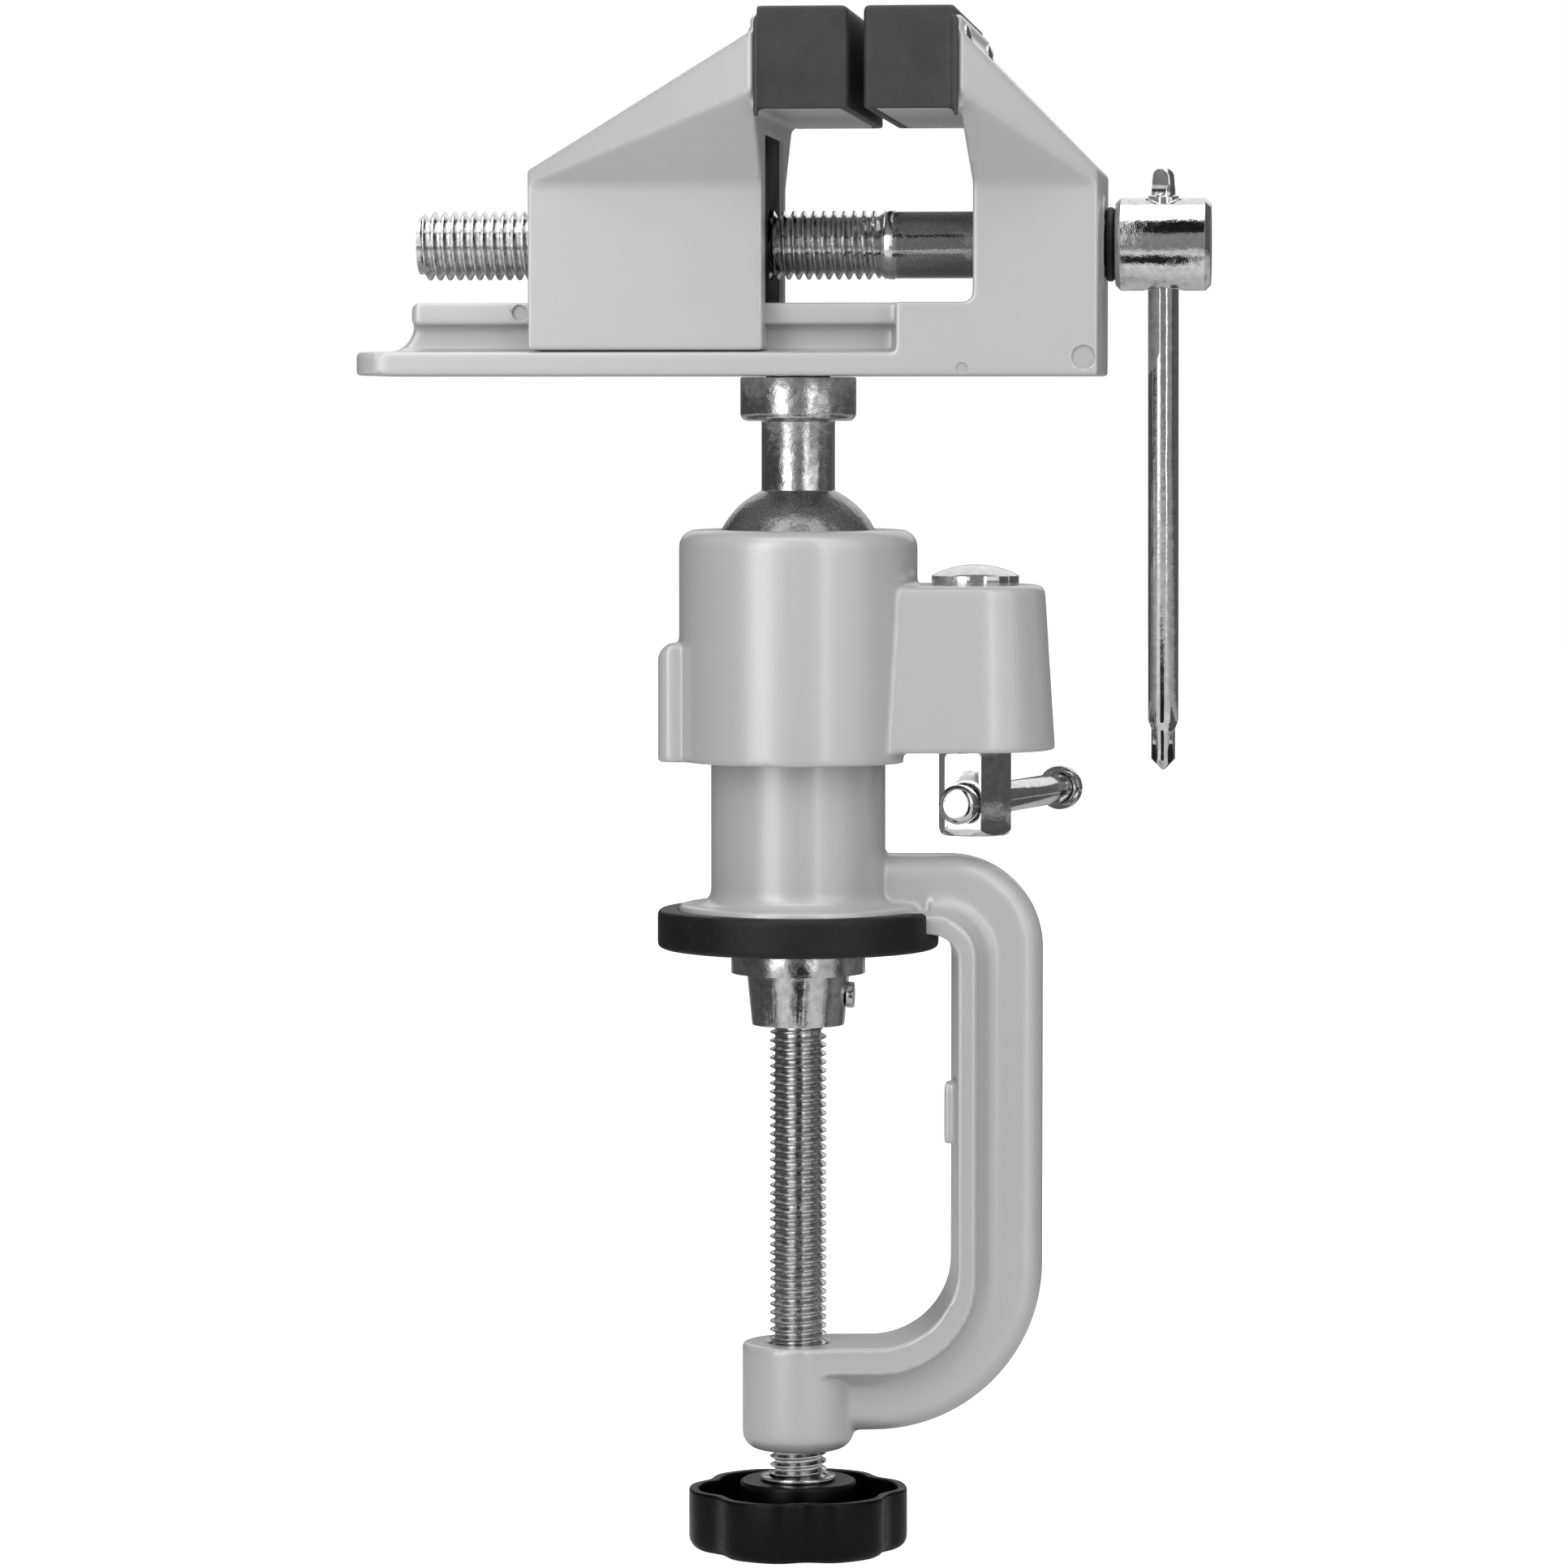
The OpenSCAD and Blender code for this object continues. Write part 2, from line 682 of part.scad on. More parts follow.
module lock_nut() {
    corner_r = nut_flats / 2 / cos(30);
    chamfer = (corner_r - nut_flats / 2) * 1.2;
    color(chrome_steel) difference() {
        at_lock_bar() translate([0, 0, nut_z - lock_bar_z]) intersection() {
            rotate([0, 0, 30]) cylinder(r = corner_r, h = nut_top - nut_z, $fn = 6);
            union() {
                cylinder(r1 = corner_r - chamfer, r2 = corner_r + over, h = chamfer + over);
                translate([0, 0, chamfer + over]) cylinder(r = corner_r + over, h = nut_top - nut_z);
            }
        }
        at_lock_bar() translate([-corner_r - over, 0, 0]) rotate([0, 90, 0])
            cylinder(r = lock_bar_r + run_gap, h = 2 * (corner_r + over));
        at_lock_bar() translate([0, 0, bolt_end - lock_bar_z - over / 2])
            cylinder(r = bolt_r + run_gap, h = nut_top - bolt_end + 2 * over);
    }
}

module lock_bar() {
    color(chrome_steel) at_lock_bar() translate([-lock_bar_near + cap_socket, 0, 0]) rotate([0, 90, 0])
        cylinder(r = lock_bar_r, h = lock_bar_near + lock_bar_far - 2 * cap_socket);
}

// One domed end for the lock bar, its mouth towards the bar
module bar_cap(r) {
    edge = cap_len * 0.45;
    difference() {
        rotate_extrude() {
            square([r, cap_len - edge]);
            square([r - edge, cap_len]);
            translate([r - edge, cap_len - edge]) intersection() {
                circle(edge);
                square(edge);
            }
        }
        translate([0, 0, -over]) cylinder(r = lock_bar_r + seat_gap, h = cap_len - cap_socket + over);
    }
}

module lock_bar_caps() {
    color(chrome_steel) at_lock_bar() {
        translate([lock_bar_far - cap_len, 0, 0]) rotate([0, 90, 0]) bar_cap(far_cap_r);
        translate([-lock_bar_near + cap_len, 0, 0]) rotate([0, -90, 0]) bar_cap(near_cap_r);
    }
}

module ball_stud() {
    color(dark_steel) rotate_extrude() {
        intersection() {
            translate([0, ball_z]) circle(ball_r);
            translate([0, ball_z - ball_r]) square([ball_r, 2 * ball_r]);
        }
        translate([0, ball_z]) square([neck_r, collar_top - ball_z]);
        translate([0, collar_top - collar_h]) {
            square([collar_r - collar_edge_r, collar_h]);
            translate([0, collar_edge_r]) square([collar_r, collar_h - collar_edge_r]);
            translate([collar_r - collar_edge_r, collar_edge_r]) circle(collar_edge_r);
        }
        translate([0, ball_z]) square([spigot_r, collar_top + spigot_len - ball_z]);
    }
}

// A jaw above its body, in the jaw's own frame: its plane is at X zero and its back is behind
module jaw_spread(length, lean) {
    intersection() {
        translate([0, 0, spread_z - over]) linear_extrude(roof_high - spread_z + 2 * over)
            polygon([[-length, -bed_w / 2], [0, -wing_half], [0, wing_half], [-length, bed_w / 2]]);
        along_y(jaw_w) polygon([[-length, spread_z], [-lean, spread_z], [0, face_z],
                                [0, roof_high], [-length, roof_low]]);
        along_x(-length - over, over) polygon([
            [-bed_w / 2, spread_z - over], [bed_w / 2, spread_z - over], [bed_w / 2, spread_z],
            [wing_half, wing_z], [wing_half, roof_high + over], [-wing_half, roof_high + over],
            [-wing_half, wing_z], [-bed_w / 2, spread_z]]);
    }
    translate([-cap_screw_stand, -head_block_half, face_z])
        cube([head_block_reach + cap_screw_stand, 2 * head_block_half, head_block_top - face_z]);
}

// Pilot holes for the screws that hold a rubber face, and the flats under their heads
module cap_screw_holes(length) {
    for (side = [-1, 1]) translate([0, side * cap_screw_y, cap_screw_z]) rotate([0, 90, 0]) {
        translate([0, 0, -cap_screw_stand - over]) cylinder(r = cap_screw_r + seat_gap, h = cap_screw_len + over);
        translate([0, 0, -cap_screw_stand - length])
            cylinder(r = cap_head_r + pass_gap, h = length);
    }
}

// Rubber face for a jaw, in the jaw's own frame
module jaw_face() {
    inner_reach = face_reach - rubber_t;
    difference() {
        union() {
            intersection() {
                translate([0, 0, face_z]) linear_extrude(face_top - face_z)
                    translate([cap_back, 0]) round_end(face_reach - cap_back, jaw_w, cap_edge_r);
                along_y(jaw_w) translate([0, face_z]) {
                    square([face_reach, face_top - face_z - cap_edge_r]);
                    square([face_reach - cap_edge_r, face_top - face_z]);
                    translate([face_reach - cap_edge_r, face_top - face_z - cap_edge_r]) circle(cap_edge_r);
                }
            }
            translate([cap_back, -jaw_w / 2 - cap_flange_lip, face_z - cap_foot])
                cube([cap_flange_t, jaw_w + 2 * cap_flange_lip, face_top + cap_flange_lip / 2 - face_z + cap_foot]);
        }
        translate([-over, -jaw_w / 2 + rubber_t, face_z - cap_foot - over])
            cube([inner_reach + over, jaw_w - 2 * rubber_t, head_block_top + seat_gap - face_z + cap_foot + over]);
    }
}

module jaw_cap_screws() {
    for (side = [-1, 1]) translate([0, side * cap_screw_y, cap_screw_z]) rotate([0, 90, 0]) {
        translate([0, 0, -cap_screw_stand - cap_head_h]) cylinder(r = cap_head_r, h = cap_head_h);
        translate([0, 0, -cap_screw_stand - cap_head_h / 2])
            cylinder(r = cap_screw_r, h = cap_screw_len - rest_gap);
    }
}

module at_moving_jaw() {
    translate([-moving_plane, 0, 0]) children();
}

module at_fixed_jaw() {
    translate([fixed_plane, 0, 0]) mirror([1, 0, 0]) children();
}

// The bed's base and the T-shaped rail on it
module bed_and_rail() {
    translate([0, 0, bed_z]) linear_extrude(base_t) {
        square([bed_right, bed_w / 2]);
        translate([0, -bed_w / 2]) square([bed_right, bed_w / 2]);
        mirror([1, 0]) round_end(bed_left, bed_w, base_corner_r);
    }
    along_x(-rail_left, upright_x) {
        translate([-rail_web_w / 2, base_top]) square([rail_web_w, rail_web_h]);
    }
    rail_head_side = rail_head_h - rail_corner_r;
    intersection() {
        translate([0, 0, rail_head_z]) linear_extrude(rail_head_h) {
            square([upright_x, rail_w / 2]);
            translate([0, -rail_w / 2]) square([upright_x, rail_w / 2]);
            mirror([1, 0]) round_end(rail_left, rail_w, rail_corner_r);
        }
        along_y(rail_w + 2 * over) translate([0, rail_head_z]) {
            square([upright_x, rail_head_h]);
            mirror([1, 0]) {
                square([rail_left, rail_head_side]);
                square([rail_left - rail_corner_r, rail_head_h]);
                translate([rail_left - rail_corner_r, rail_head_side]) circle(rail_corner_r);
            }
        }
    }
    // The web runs out to the base in a hollow curve
    along_y(rail_web_w) translate([-rail_left, base_top]) mirror([1, 0]) fillet(rail_web_h);
}

module fixed_jaw_body() {
    translate([block_x, -bed_w / 2, base_top]) cube([bed_right - block_x, bed_w, rail_top - base_top]);
    translate([upright_x, -bed_w / 2, rail_top]) cube([upright_len, bed_w, spread_z - rail_top]);
    along_y(bed_w) translate([upright_x, rail_top]) mirror([1, 0]) fillet(window_fillet_r);
    for (side = [-1, 1]) translate([block_x, side * rail_web_w / 2, base_top])
        linear_extrude(rail_web_h) mirror([1, 0]) mirror([0, side < 0 ? 1 : 0]) fillet(recess_r);
    translate([bed_right, 0, lead_z]) rotate([0, 90, 0]) cylinder(r = face_boss_r, h = face_boss_h);
    at_fixed_jaw() jaw_spread(bed_right - fixed_plane, upright_lean);
}

module vise_bed() {
    color(paint) difference() {
        union() {
            bed_and_rail();
            fixed_jaw_body();
        }
        translate([upright_x - over, 0, lead_z]) rotate([0, 90, 0])
            cylinder(r = lead_hole_r, h = upright_len + face_boss_h + 2 * over);
        translate([0, 0, bed_z - over]) cylinder(r = spigot_r + run_gap, h = spigot_len + slide_gap + over);
        translate([keeper_x, keeper_y, bed_z - over])
            cylinder(r = keeper_r + seat_gap, h = keeper_top - bed_z + over);
        at_fixed_jaw() cap_screw_holes(upright_len);
    }
}

module fixed_jaw_cap() {
    color(rubber_black) at_fixed_jaw() jaw_face();
}

module fixed_cap_screws() {
    color(zinc_steel) at_fixed_jaw() jaw_cap_screws();
}

module screw_keeper_pin() {
    color(zinc_steel) translate([keeper_x, keeper_y, bed_z])
        cylinder(r = keeper_r, h = keeper_top - bed_z - rest_gap);
}

module moving_jaw() {
    foot = base_top + slide_gap;
    web_room = rail_web_w / 2 + slide_gap;
    head_room = rail_w / 2 + slide_gap;
    hollow = moving_len - cavity_back_wall;
    roof_rise = (roof_high - roof_low) / moving_len;
    color(paint) at_moving_jaw() difference() {
        union() {
            translate([-moving_len, -bed_w / 2, foot]) cube([moving_len, bed_w, spread_z - foot]);
            jaw_spread(moving_len, 0);
        }
        // T-shaped way for the rail
        translate([-moving_len - over, -web_room, foot - over])
            cube([moving_len + 2 * over, 2 * web_room, rail_web_h + over]);
        translate([-moving_len - over, -head_room, rail_head_z - slide_gap])
            cube([moving_len + 2 * over, 2 * head_room, guide_top - rail_head_z + slide_gap]);
        // Hollow of the casting, with a frame left standing round the nut
        difference() {
            along_y(cavity_w) polygon([
                [-hollow, guide_top - over], [over, guide_top - over],
                [over, face_z - cavity_roof_t], [0, face_z - cavity_roof_t],
                [-moving_len / 2, face_z - cavity_roof_t],
                [-hollow, roof_low + roof_rise * cavity_back_wall - cavity_roof_t * 1.3]]);
            translate([-nut_front - nut_len - nut_frame_t, -cavity_w / 2 - over, guide_top])
                cube([nut_len + 2 * nut_frame_t, cavity_w + 2 * over, lead_z + nut_w / 2 - guide_top]);
        }
        translate([-nut_front - nut_len - slide_gap / 2, -nut_w / 2 - slide_gap / 2, lead_z - nut_w / 2 - slide_gap / 2])
            cube([nut_len + slide_gap, nut_w + slide_gap, nut_w + slide_gap + over]);
        translate([-moving_len - over, 0, lead_z]) rotate([0, 90, 0])
            cylinder(r = lead_r + pass_gap, h = moving_len + 2 * over);
        cap_screw_holes(moving_len);
    }
}

module moving_jaw_cap() {
    color(rubber_black) at_moving_jaw() jaw_face();
}

module moving_cap_screws() {
    color(zinc_steel) at_moving_jaw() jaw_cap_screws();
}

// Black plate that closes the mouth of the moving jaw's hollow, round the lead screw
module jaw_cover() {
    width = cavity_w - 2 * seat_gap;
    top = face_z - cavity_roof_t - seat_gap;
    color(rubber_black) at_moving_jaw() difference() {
        translate([-cover_inset - cover_t, -width / 2, guide_top]) cube([cover_t, width, top - guide_top]);
        translate([-cover_inset - cover_t - over, 0, lead_z]) rotate([0, 90, 0])
            cylinder(r = lead_r + pass_gap, h = cover_t + 2 * over);
    }
}

module jaw_nut() {
    color(zinc_steel) at_moving_jaw() difference() {
        translate([-nut_front - nut_len, -nut_w / 2, lead_z - nut_w / 2]) cube([nut_len, nut_w, nut_w]);
        translate([-nut_front - nut_len - over, 0, lead_z]) rotate([0, 90, 0])
            cylinder(r = lead_r + run_gap, h = nut_len + 2 * over);
    }
}

// Things on the lead screw are drawn along Z, from the ball's plane, and laid along X
module at_lead_screw() {
    translate([0, 0, lead_z]) rotate([0, 90, 0]) children();
}

module lead_screw() {
    color(chrome_steel) difference() {
        at_lead_screw() {
            translate([0, 0, -lead_left]) cylinder(r1 = lead_r - end_chamfer, r2 = lead_r, h = end_chamfer);
            translate([0, 0, end_chamfer - lead_left])
                cylinder(r = lead_r, h = lead_left + thread_right - end_chamfer);
            translate([0, 0, thread_right]) difference() {
                cylinder(r = shank_r, h = bed_right - thread_right);
                translate([0, 0, keeper_x - thread_right - keeper_r - pass_gap]) difference() {
                    cylinder(r = shank_r + over, h = 2 * (keeper_r + pass_gap));
                    cylinder(r = keeper_groove_r, h = 2 * (keeper_r + pass_gap));
                }
            }
            translate([0, 0, bed_right]) cylinder(r = head_neck_r, h = head_x - bed_right);
            translate([0, 0, head_x]) {
                cylinder(r1 = head_r - head_chamfer, r2 = head_r, h = head_chamfer);
                translate([0, 0, head_chamfer]) cylinder(r = head_r, h = head_len - 2 * head_chamfer);
                translate([0, 0, head_len - head_chamfer])
                    cylinder(r1 = head_r, r2 = head_r - head_chamfer, h = head_chamfer);
            }
        }
        translate([tommy_x, 0, lead_z]) rotate([tommy_lean, 0, 0]) {
            translate([0, 0, -head_r - over]) cylinder(r = tommy_r + run_gap, h = 2 * (head_r + over));
            for (side = [0, 1]) mirror([0, 0, side]) translate([0, 0, head_r - tommy_dish])
                cylinder(r1 = tommy_r + run_gap, r2 = tommy_r + 2 * tommy_dish, h = 2 * tommy_dish);
        }
    }
}

module thrust_ring() {
    color(rubber_black) at_lead_screw() translate([0, 0, head_x - ring_t / 2]) rotate_extrude()
        translate([ring_r + seat_gap, 0]) circle(ring_t / 2);
}

module tommy_bar() {
    shoulder = tommy_r - blade_w / 2;
    foot = cross_len - tommy_down;
    blade_foot = tommy_up - blade_len;
    color(chrome_steel) translate([tommy_x, 0, lead_z]) rotate([tommy_lean, 0, 0]) {
        rotate_extrude() polygon([
            [0, foot - cross_taper], [cross_r, foot - cross_taper], [tommy_r, foot],
            [tommy_r, blade_foot], [blade_w / 2, blade_foot + shoulder], [0, blade_foot + shoulder]]);
        // Flat blade at the top
        translate([-blade_w / 2, -blade_t / 2, blade_foot]) cube([blade_w, blade_t, blade_len]);
        // Cross-shaped tip at the foot: two crossed blades on a core, all within a pointed round
        translate([0, 0, -tommy_down]) intersection() {
            union() {
                cylinder(r = cross_core_r, h = cross_len);
                for (turn = [0, 90]) rotate([0, 0, turn]) translate([-cross_r, -cross_blade / 2, 0])
                    cube([2 * cross_r, cross_blade, cross_len]);
            }
            rotate_extrude() polygon([[0, 0], [cross_tip_r, cross_point], [cross_tip_r, cross_len], [0, cross_len]]);
        }
    }
}

module swivel_pad() {
    color(zinc_steel) difference() {
        union() {
            translate([0, 0, -swivel_flange_h]) cylinder(r = swivel_r, h = swivel_flange_h + swivel_top);
            translate([0, 0, -swivel_h]) cylinder(r1 = skirt_r - skirt_taper, r2 = skirt_r,
                                                  h = swivel_h - swivel_flange_h);
        }
        translate([0, 0, -swivel_h - over]) cylinder(r = tip_r + run_gap, h = swivel_h - swivel_flange_h + over);
        translate([0, 0, swivel_pin_z]) rotate([0, 90, 0]) cylinder(r = swivel_pin_r + seat_gap, h = skirt_r + over);
        translate([swivel_pin_seat, 0, swivel_pin_z]) rotate([0, 90, 0])
            cylinder(r = swivel_pin_head_r + seat_gap, h = skirt_taper + over);
    }
}

module swivel_pin() {
    pin_start = tip_groove_r + pass_gap;
    color(zinc_steel) translate([0, 0, swivel_pin_z]) rotate([0, 90, 0]) {
        translate([0, 0, pin_start]) cylinder(r = swivel_pin_r, h = swivel_pin_seat - pin_start);
        translate([0, 0, swivel_pin_seat]) cylinder(r = swivel_pin_head_r, h = swivel_pin_head_h);
    }
}

module clamp_screw() {
    color(zinc_steel) difference() {
        union() {
            translate([0, 0, screw_end]) cylinder(r = clamp_screw_r, h = -swivel_h - pass_gap - screw_end);
            translate([0, 0, -swivel_h - over]) cylinder(r = tip_r, h = swivel_h + over + tip_top - rest_gap);
        }
        translate([0, 0, swivel_pin_z - tip_groove_h / 2]) difference() {
            cylinder(r = tip_r + over, h = tip_groove_h);
            cylinder(r = tip_groove_r, h = tip_groove_h);
        }
    }
}

// Outline of the knob: a circle drawn in between the lobes
function knob_points(r) = [for (i = [0:knob_lobes * knob_steps - 1])
    let (turn = 360 * i / (knob_lobes * knob_steps), wave = (1 - cos(knob_lobes * turn)) / 2)
    (r - knob_hollow * pow(wave, 2.5)) * [cos(turn + knob_phase), sin(turn + knob_phase)]];

module clamp_knob() {
    color(knob_black) translate([0, 0, knob_base]) difference() {
        union() {
            difference() {
                union() {
                    translate([0, 0, knob_edge]) linear_extrude(knob_h - knob_edge) polygon(knob_points(knob_r));
                    linear_extrude(knob_edge) polygon(knob_points(knob_r - knob_edge));
                }
                translate([0, 0, knob_floor]) linear_extrude(knob_h) polygon(knob_points(knob_r - knob_wall));
            }
            cylinder(r = hub_r, h = knob_h + hub_rise);
        }
        translate([0, 0, knob_h + hub_rise - insert_len])
            cylinder(r = insert_r + seat_gap, h = insert_len + over);
    }
}

module knob_insert() {
    color(zinc_steel) difference() {
        union() {
            translate([0, 0, hub_top - insert_len]) cylinder(r = insert_r, h = insert_len);
            translate([0, 0, hub_top]) cylinder(r = insert_flange_r, h = insert_flange_h);
        }
        translate([0, 0, hub_top - insert_len - over])
            cylinder(r = clamp_screw_r + seat_gap, h = insert_len + insert_flange_h + 2 * over);
    }
}

c_frame();
clamp_pad_cap();
ball_seat();
ball_housing();
lock_yoke();
yoke_pin();
lock_bolt();
lock_nut();
lock_bar();
lock_bar_caps();
ball_stud();
vise_bed();
fixed_jaw_cap();
fixed_cap_screws();
screw_keeper_pin();
moving_jaw();
moving_jaw_cap();
moving_cap_screws();
jaw_cover();
jaw_nut();
lead_screw();
thrust_ring();
tommy_bar();
swivel_pad();
swivel_pin();
clamp_screw();
clamp_knob();
knob_insert();
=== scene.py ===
import math

import bmesh
import bpy
from mathutils import Matrix, Vector
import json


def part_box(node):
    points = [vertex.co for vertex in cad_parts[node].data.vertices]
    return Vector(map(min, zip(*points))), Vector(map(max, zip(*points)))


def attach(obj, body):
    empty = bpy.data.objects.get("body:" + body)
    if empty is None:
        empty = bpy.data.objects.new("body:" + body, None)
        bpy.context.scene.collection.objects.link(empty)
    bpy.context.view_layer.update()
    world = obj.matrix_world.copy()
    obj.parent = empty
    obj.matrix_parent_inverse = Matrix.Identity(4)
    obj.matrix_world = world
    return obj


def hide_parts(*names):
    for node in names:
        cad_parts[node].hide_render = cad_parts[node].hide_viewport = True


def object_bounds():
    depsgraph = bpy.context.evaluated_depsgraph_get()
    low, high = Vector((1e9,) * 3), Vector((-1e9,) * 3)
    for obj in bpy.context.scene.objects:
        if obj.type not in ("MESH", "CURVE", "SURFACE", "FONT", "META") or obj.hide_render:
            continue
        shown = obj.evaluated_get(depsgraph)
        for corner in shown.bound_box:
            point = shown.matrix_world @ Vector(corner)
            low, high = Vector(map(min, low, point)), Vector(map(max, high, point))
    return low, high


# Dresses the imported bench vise: castings with soft edges, cut threads, plated steel, rubber faces
# and a moulded knob, in plain studio light. Blender's lengths are metres; MM turns millimetres
# into them. Z is up, X runs along the jaws' travel and the camera looks along Y.

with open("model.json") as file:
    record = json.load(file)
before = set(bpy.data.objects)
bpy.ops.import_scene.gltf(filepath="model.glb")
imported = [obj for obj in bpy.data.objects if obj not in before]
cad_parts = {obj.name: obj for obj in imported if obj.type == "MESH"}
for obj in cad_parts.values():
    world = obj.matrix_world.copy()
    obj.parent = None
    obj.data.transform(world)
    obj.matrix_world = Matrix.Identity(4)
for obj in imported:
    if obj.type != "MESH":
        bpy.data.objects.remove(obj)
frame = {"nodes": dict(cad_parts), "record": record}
cad_low, cad_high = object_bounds()
nodes = frame["nodes"]
MM = 0.001


# ---------------------------------------------------------------- sizes

# Castings: the side of a remeshing cell in millimetres, how often its corners are evened out, and
# by how much each time
CELL = {"c_frame": 0.5, "ball_housing": 0.5, "vise_bed": 0.55, "moving_jaw": 0.5,
        "fixed_jaw_cap": 0.42, "moving_jaw_cap": 0.42, "clamp_pad_cap": 0.45}
EVENING = {"c_frame": 4, "ball_housing": 4, "vise_bed": 3, "moving_jaw": 3,
           "fixed_jaw_cap": 3, "moving_jaw_cap": 3, "clamp_pad_cap": 3}
EVENING_FACTOR = 0.5

# Rounding of the edges of turned and machined steel in millimetres, its steps, the least angle in
# degrees that is rounded, and the angle up to which neighbouring faces are made one
EDGE = {"ball_stud": 0.25, "lock_bolt": 0.3, "lock_nut": 0.18, "lock_bar_caps": 0.1,
        "swivel_pad": 0.3, "swivel_pin": 0.2, "knob_insert": 0.2,
        "lock_bar": 0.1, "yoke_pin": 0.2, "lead_screw": 0.3, "clamp_screw": 0.2,
        "thrust_ring": 0.25, "jaw_cover": 0.2, "jaw_nut": 0.3, "lock_yoke": 0.4, "ball_seat": 0.3}
EDGE_STEPS = 3
EDGE_FROM = 28
FLAT_WITHIN = 0.4

# Angles in degrees above which an edge is shaded sharp
SHARP_STEEL = 30
SHARP_THREAD = 40
SHARP_SCREW = 40
SHARP_KNOB = 50

# Threads: depth, flat crest and foot as shares of the pitch, how far the ridge reaches into the
# core as a share of the depth, the turns in which it runs out, its least size there, and the steps
# in one turn
THREAD_DEPTH = 0.61
THREAD_CREST = 0.14
THREAD_FOOT = 0.9
THREAD_SINK = 0.2
THREAD_RUNOUT = 0.8
THREAD_LEAST = 0.05
THREAD_STEPS = 40

# Lead screw: pitch and radius of the thread, where along X it ends, where the shank, duller and
# darker as painted shade, and the head start, and the height of the axis
LEAD_PITCH = 1.75 * MM
LEAD_THREAD_R = 6 * MM
LEAD_THREAD_END = 15.2 * MM
SHANK_START = LEAD_THREAD_END + 2.2 * MM
HEAD_START = 54 * MM
LEAD_HEIGHT = 122.5 * MM

# Clamp screw: pitch and radius of the thread, and the height of its end, where the tip is plain
CLAMP_PITCH = 1.5 * MM
CLAMP_THREAD_R = 5 * MM
CLAMP_THREAD_TOP = -13.8 * MM

# Knob, in millimetres: half a section through a lobe, from the foot of its axis, as radius,
# height, rounding
KNOB_R = 19.2
KNOB_RIM = 10.7
KNOB_HUB_R = 10.2
KNOB_HUB_TOP = 12.0
KNOB_BORE = 6.1
KNOB_FLOOR = 2.4
KNOB_WALL = 1.8
KNOB_BORE_DEPTH = 7.5
KNOB_SECTION = [(0, 0, 0), (KNOB_R, 0, 2.2), (KNOB_R, KNOB_RIM, 0.55),
                (KNOB_R - KNOB_WALL, KNOB_RIM, 0.55), (KNOB_R - KNOB_WALL, KNOB_FLOOR, 1.0),
                (KNOB_HUB_R, KNOB_FLOOR, 0.8), (KNOB_HUB_R, KNOB_HUB_TOP, 0.7),
                (KNOB_BORE, KNOB_HUB_TOP, 0.1), (KNOB_BORE, KNOB_HUB_TOP - KNOB_BORE_DEPTH, 0),
                (0, KNOB_HUB_TOP - KNOB_BORE_DEPTH, 0)]
# Hollows between the lobes: depth, how narrow they are, the radius from which they have their full
# depth, their number and turn in degrees, and the steps round the knob and round each corner
KNOB_HOLLOW = 1.7
KNOB_HOLLOW_POWER = 2.5
KNOB_FULL_R = KNOB_R - 1.9
KNOB_LOBES = 6
KNOB_PHASE = 10
KNOB_STEPS = 216
KNOB_CORNER_STEPS = 5

# Screws of the jaws' rubber faces: rings and sides of the domed head, its fullness, height and
# least radius, the shank's radius, and the side along X that the heads are on
SCREW_RINGS = 12
SCREW_SIDES = 32
SCREW_FULLNESS = 3.2
SCREW_HEAD_H = 1.2 * MM
SCREW_TIP_R = 0.02 * MM
SCREW_SHANK_R = 1.45 * MM
SCREW_SIDE = {"fixed_cap_screws": 1, "moving_cap_screws": -1}
# The cross cut in their heads
CROSS_WIDTH = 0.62 * MM
CROSS_SPAN = 2.9 * MM
CROSS_DEPTH = 0.8 * MM

# Where the ball ends and the stud's neck begins
BALL_TOP = 79.9 * MM

# Tommy bar, in millimetres and degrees: radius, lean, how far its foot lies below the lead
# screw's axis, and the rings of its plain length
BAR_R = 2.66
BAR_LEAN = 6
BAR_DOWN = 92.0
BAR_RINGS = 24
# Cross at its foot: height above the tip, radius, half the width of the four wings; its turn, and
# the steps on half a wing and from there to the middle of a groove
CROSS_ROWS = [(0, 0.35, 0.97), (0.4, 0.72, 0.97), (0.7, 1.0, 0.97), (1.1, 1.36, 0.97),
              (1.5, 1.73, 0.97), (1.9, 2.1, 0.97), (3.7, 2.1, 0.97), (5.0, 2.1, 1.2),
              (5.7, 2.1, 1.36), (6.8, 2.1, 1.6), (7.2, 2.1, 1.68), (7.6, 2.24, 1.78),
              (8.0, 2.42, 1.9), (8.4, 2.56, 2.0), (8.8, 2.66, 2.2)]
CROSS_TURN = -94
CROSS_WING_STEPS = 5
CROSS_GROOVE_STEPS = 7
# Blade at its top: height above the lead screw's axis, radius, half the thickness; its turn, and
# the steps on half an edge and on a flat, which together are as many as the cross has
BLADE_ROWS = [(8.0, 2.66, 2.7), (8.35, 2.62, 2.7), (8.6, 2.1, 2.7), (8.9, 2.05, 1.75),
              (9.3, 2.05, 1.3), (9.8, 2.05, 0.98), (10.3, 2.05, 0.8), (11.0, 2.0, 0.8),
              (12.0, 1.88, 0.8), (12.6, 1.55, 0.8), (13.0, 1.0, 0.8)]
BLADE_TURN = -39.5
BLADE_EDGE_STEPS = 8
BLADE_FLAT_STEPS = 32

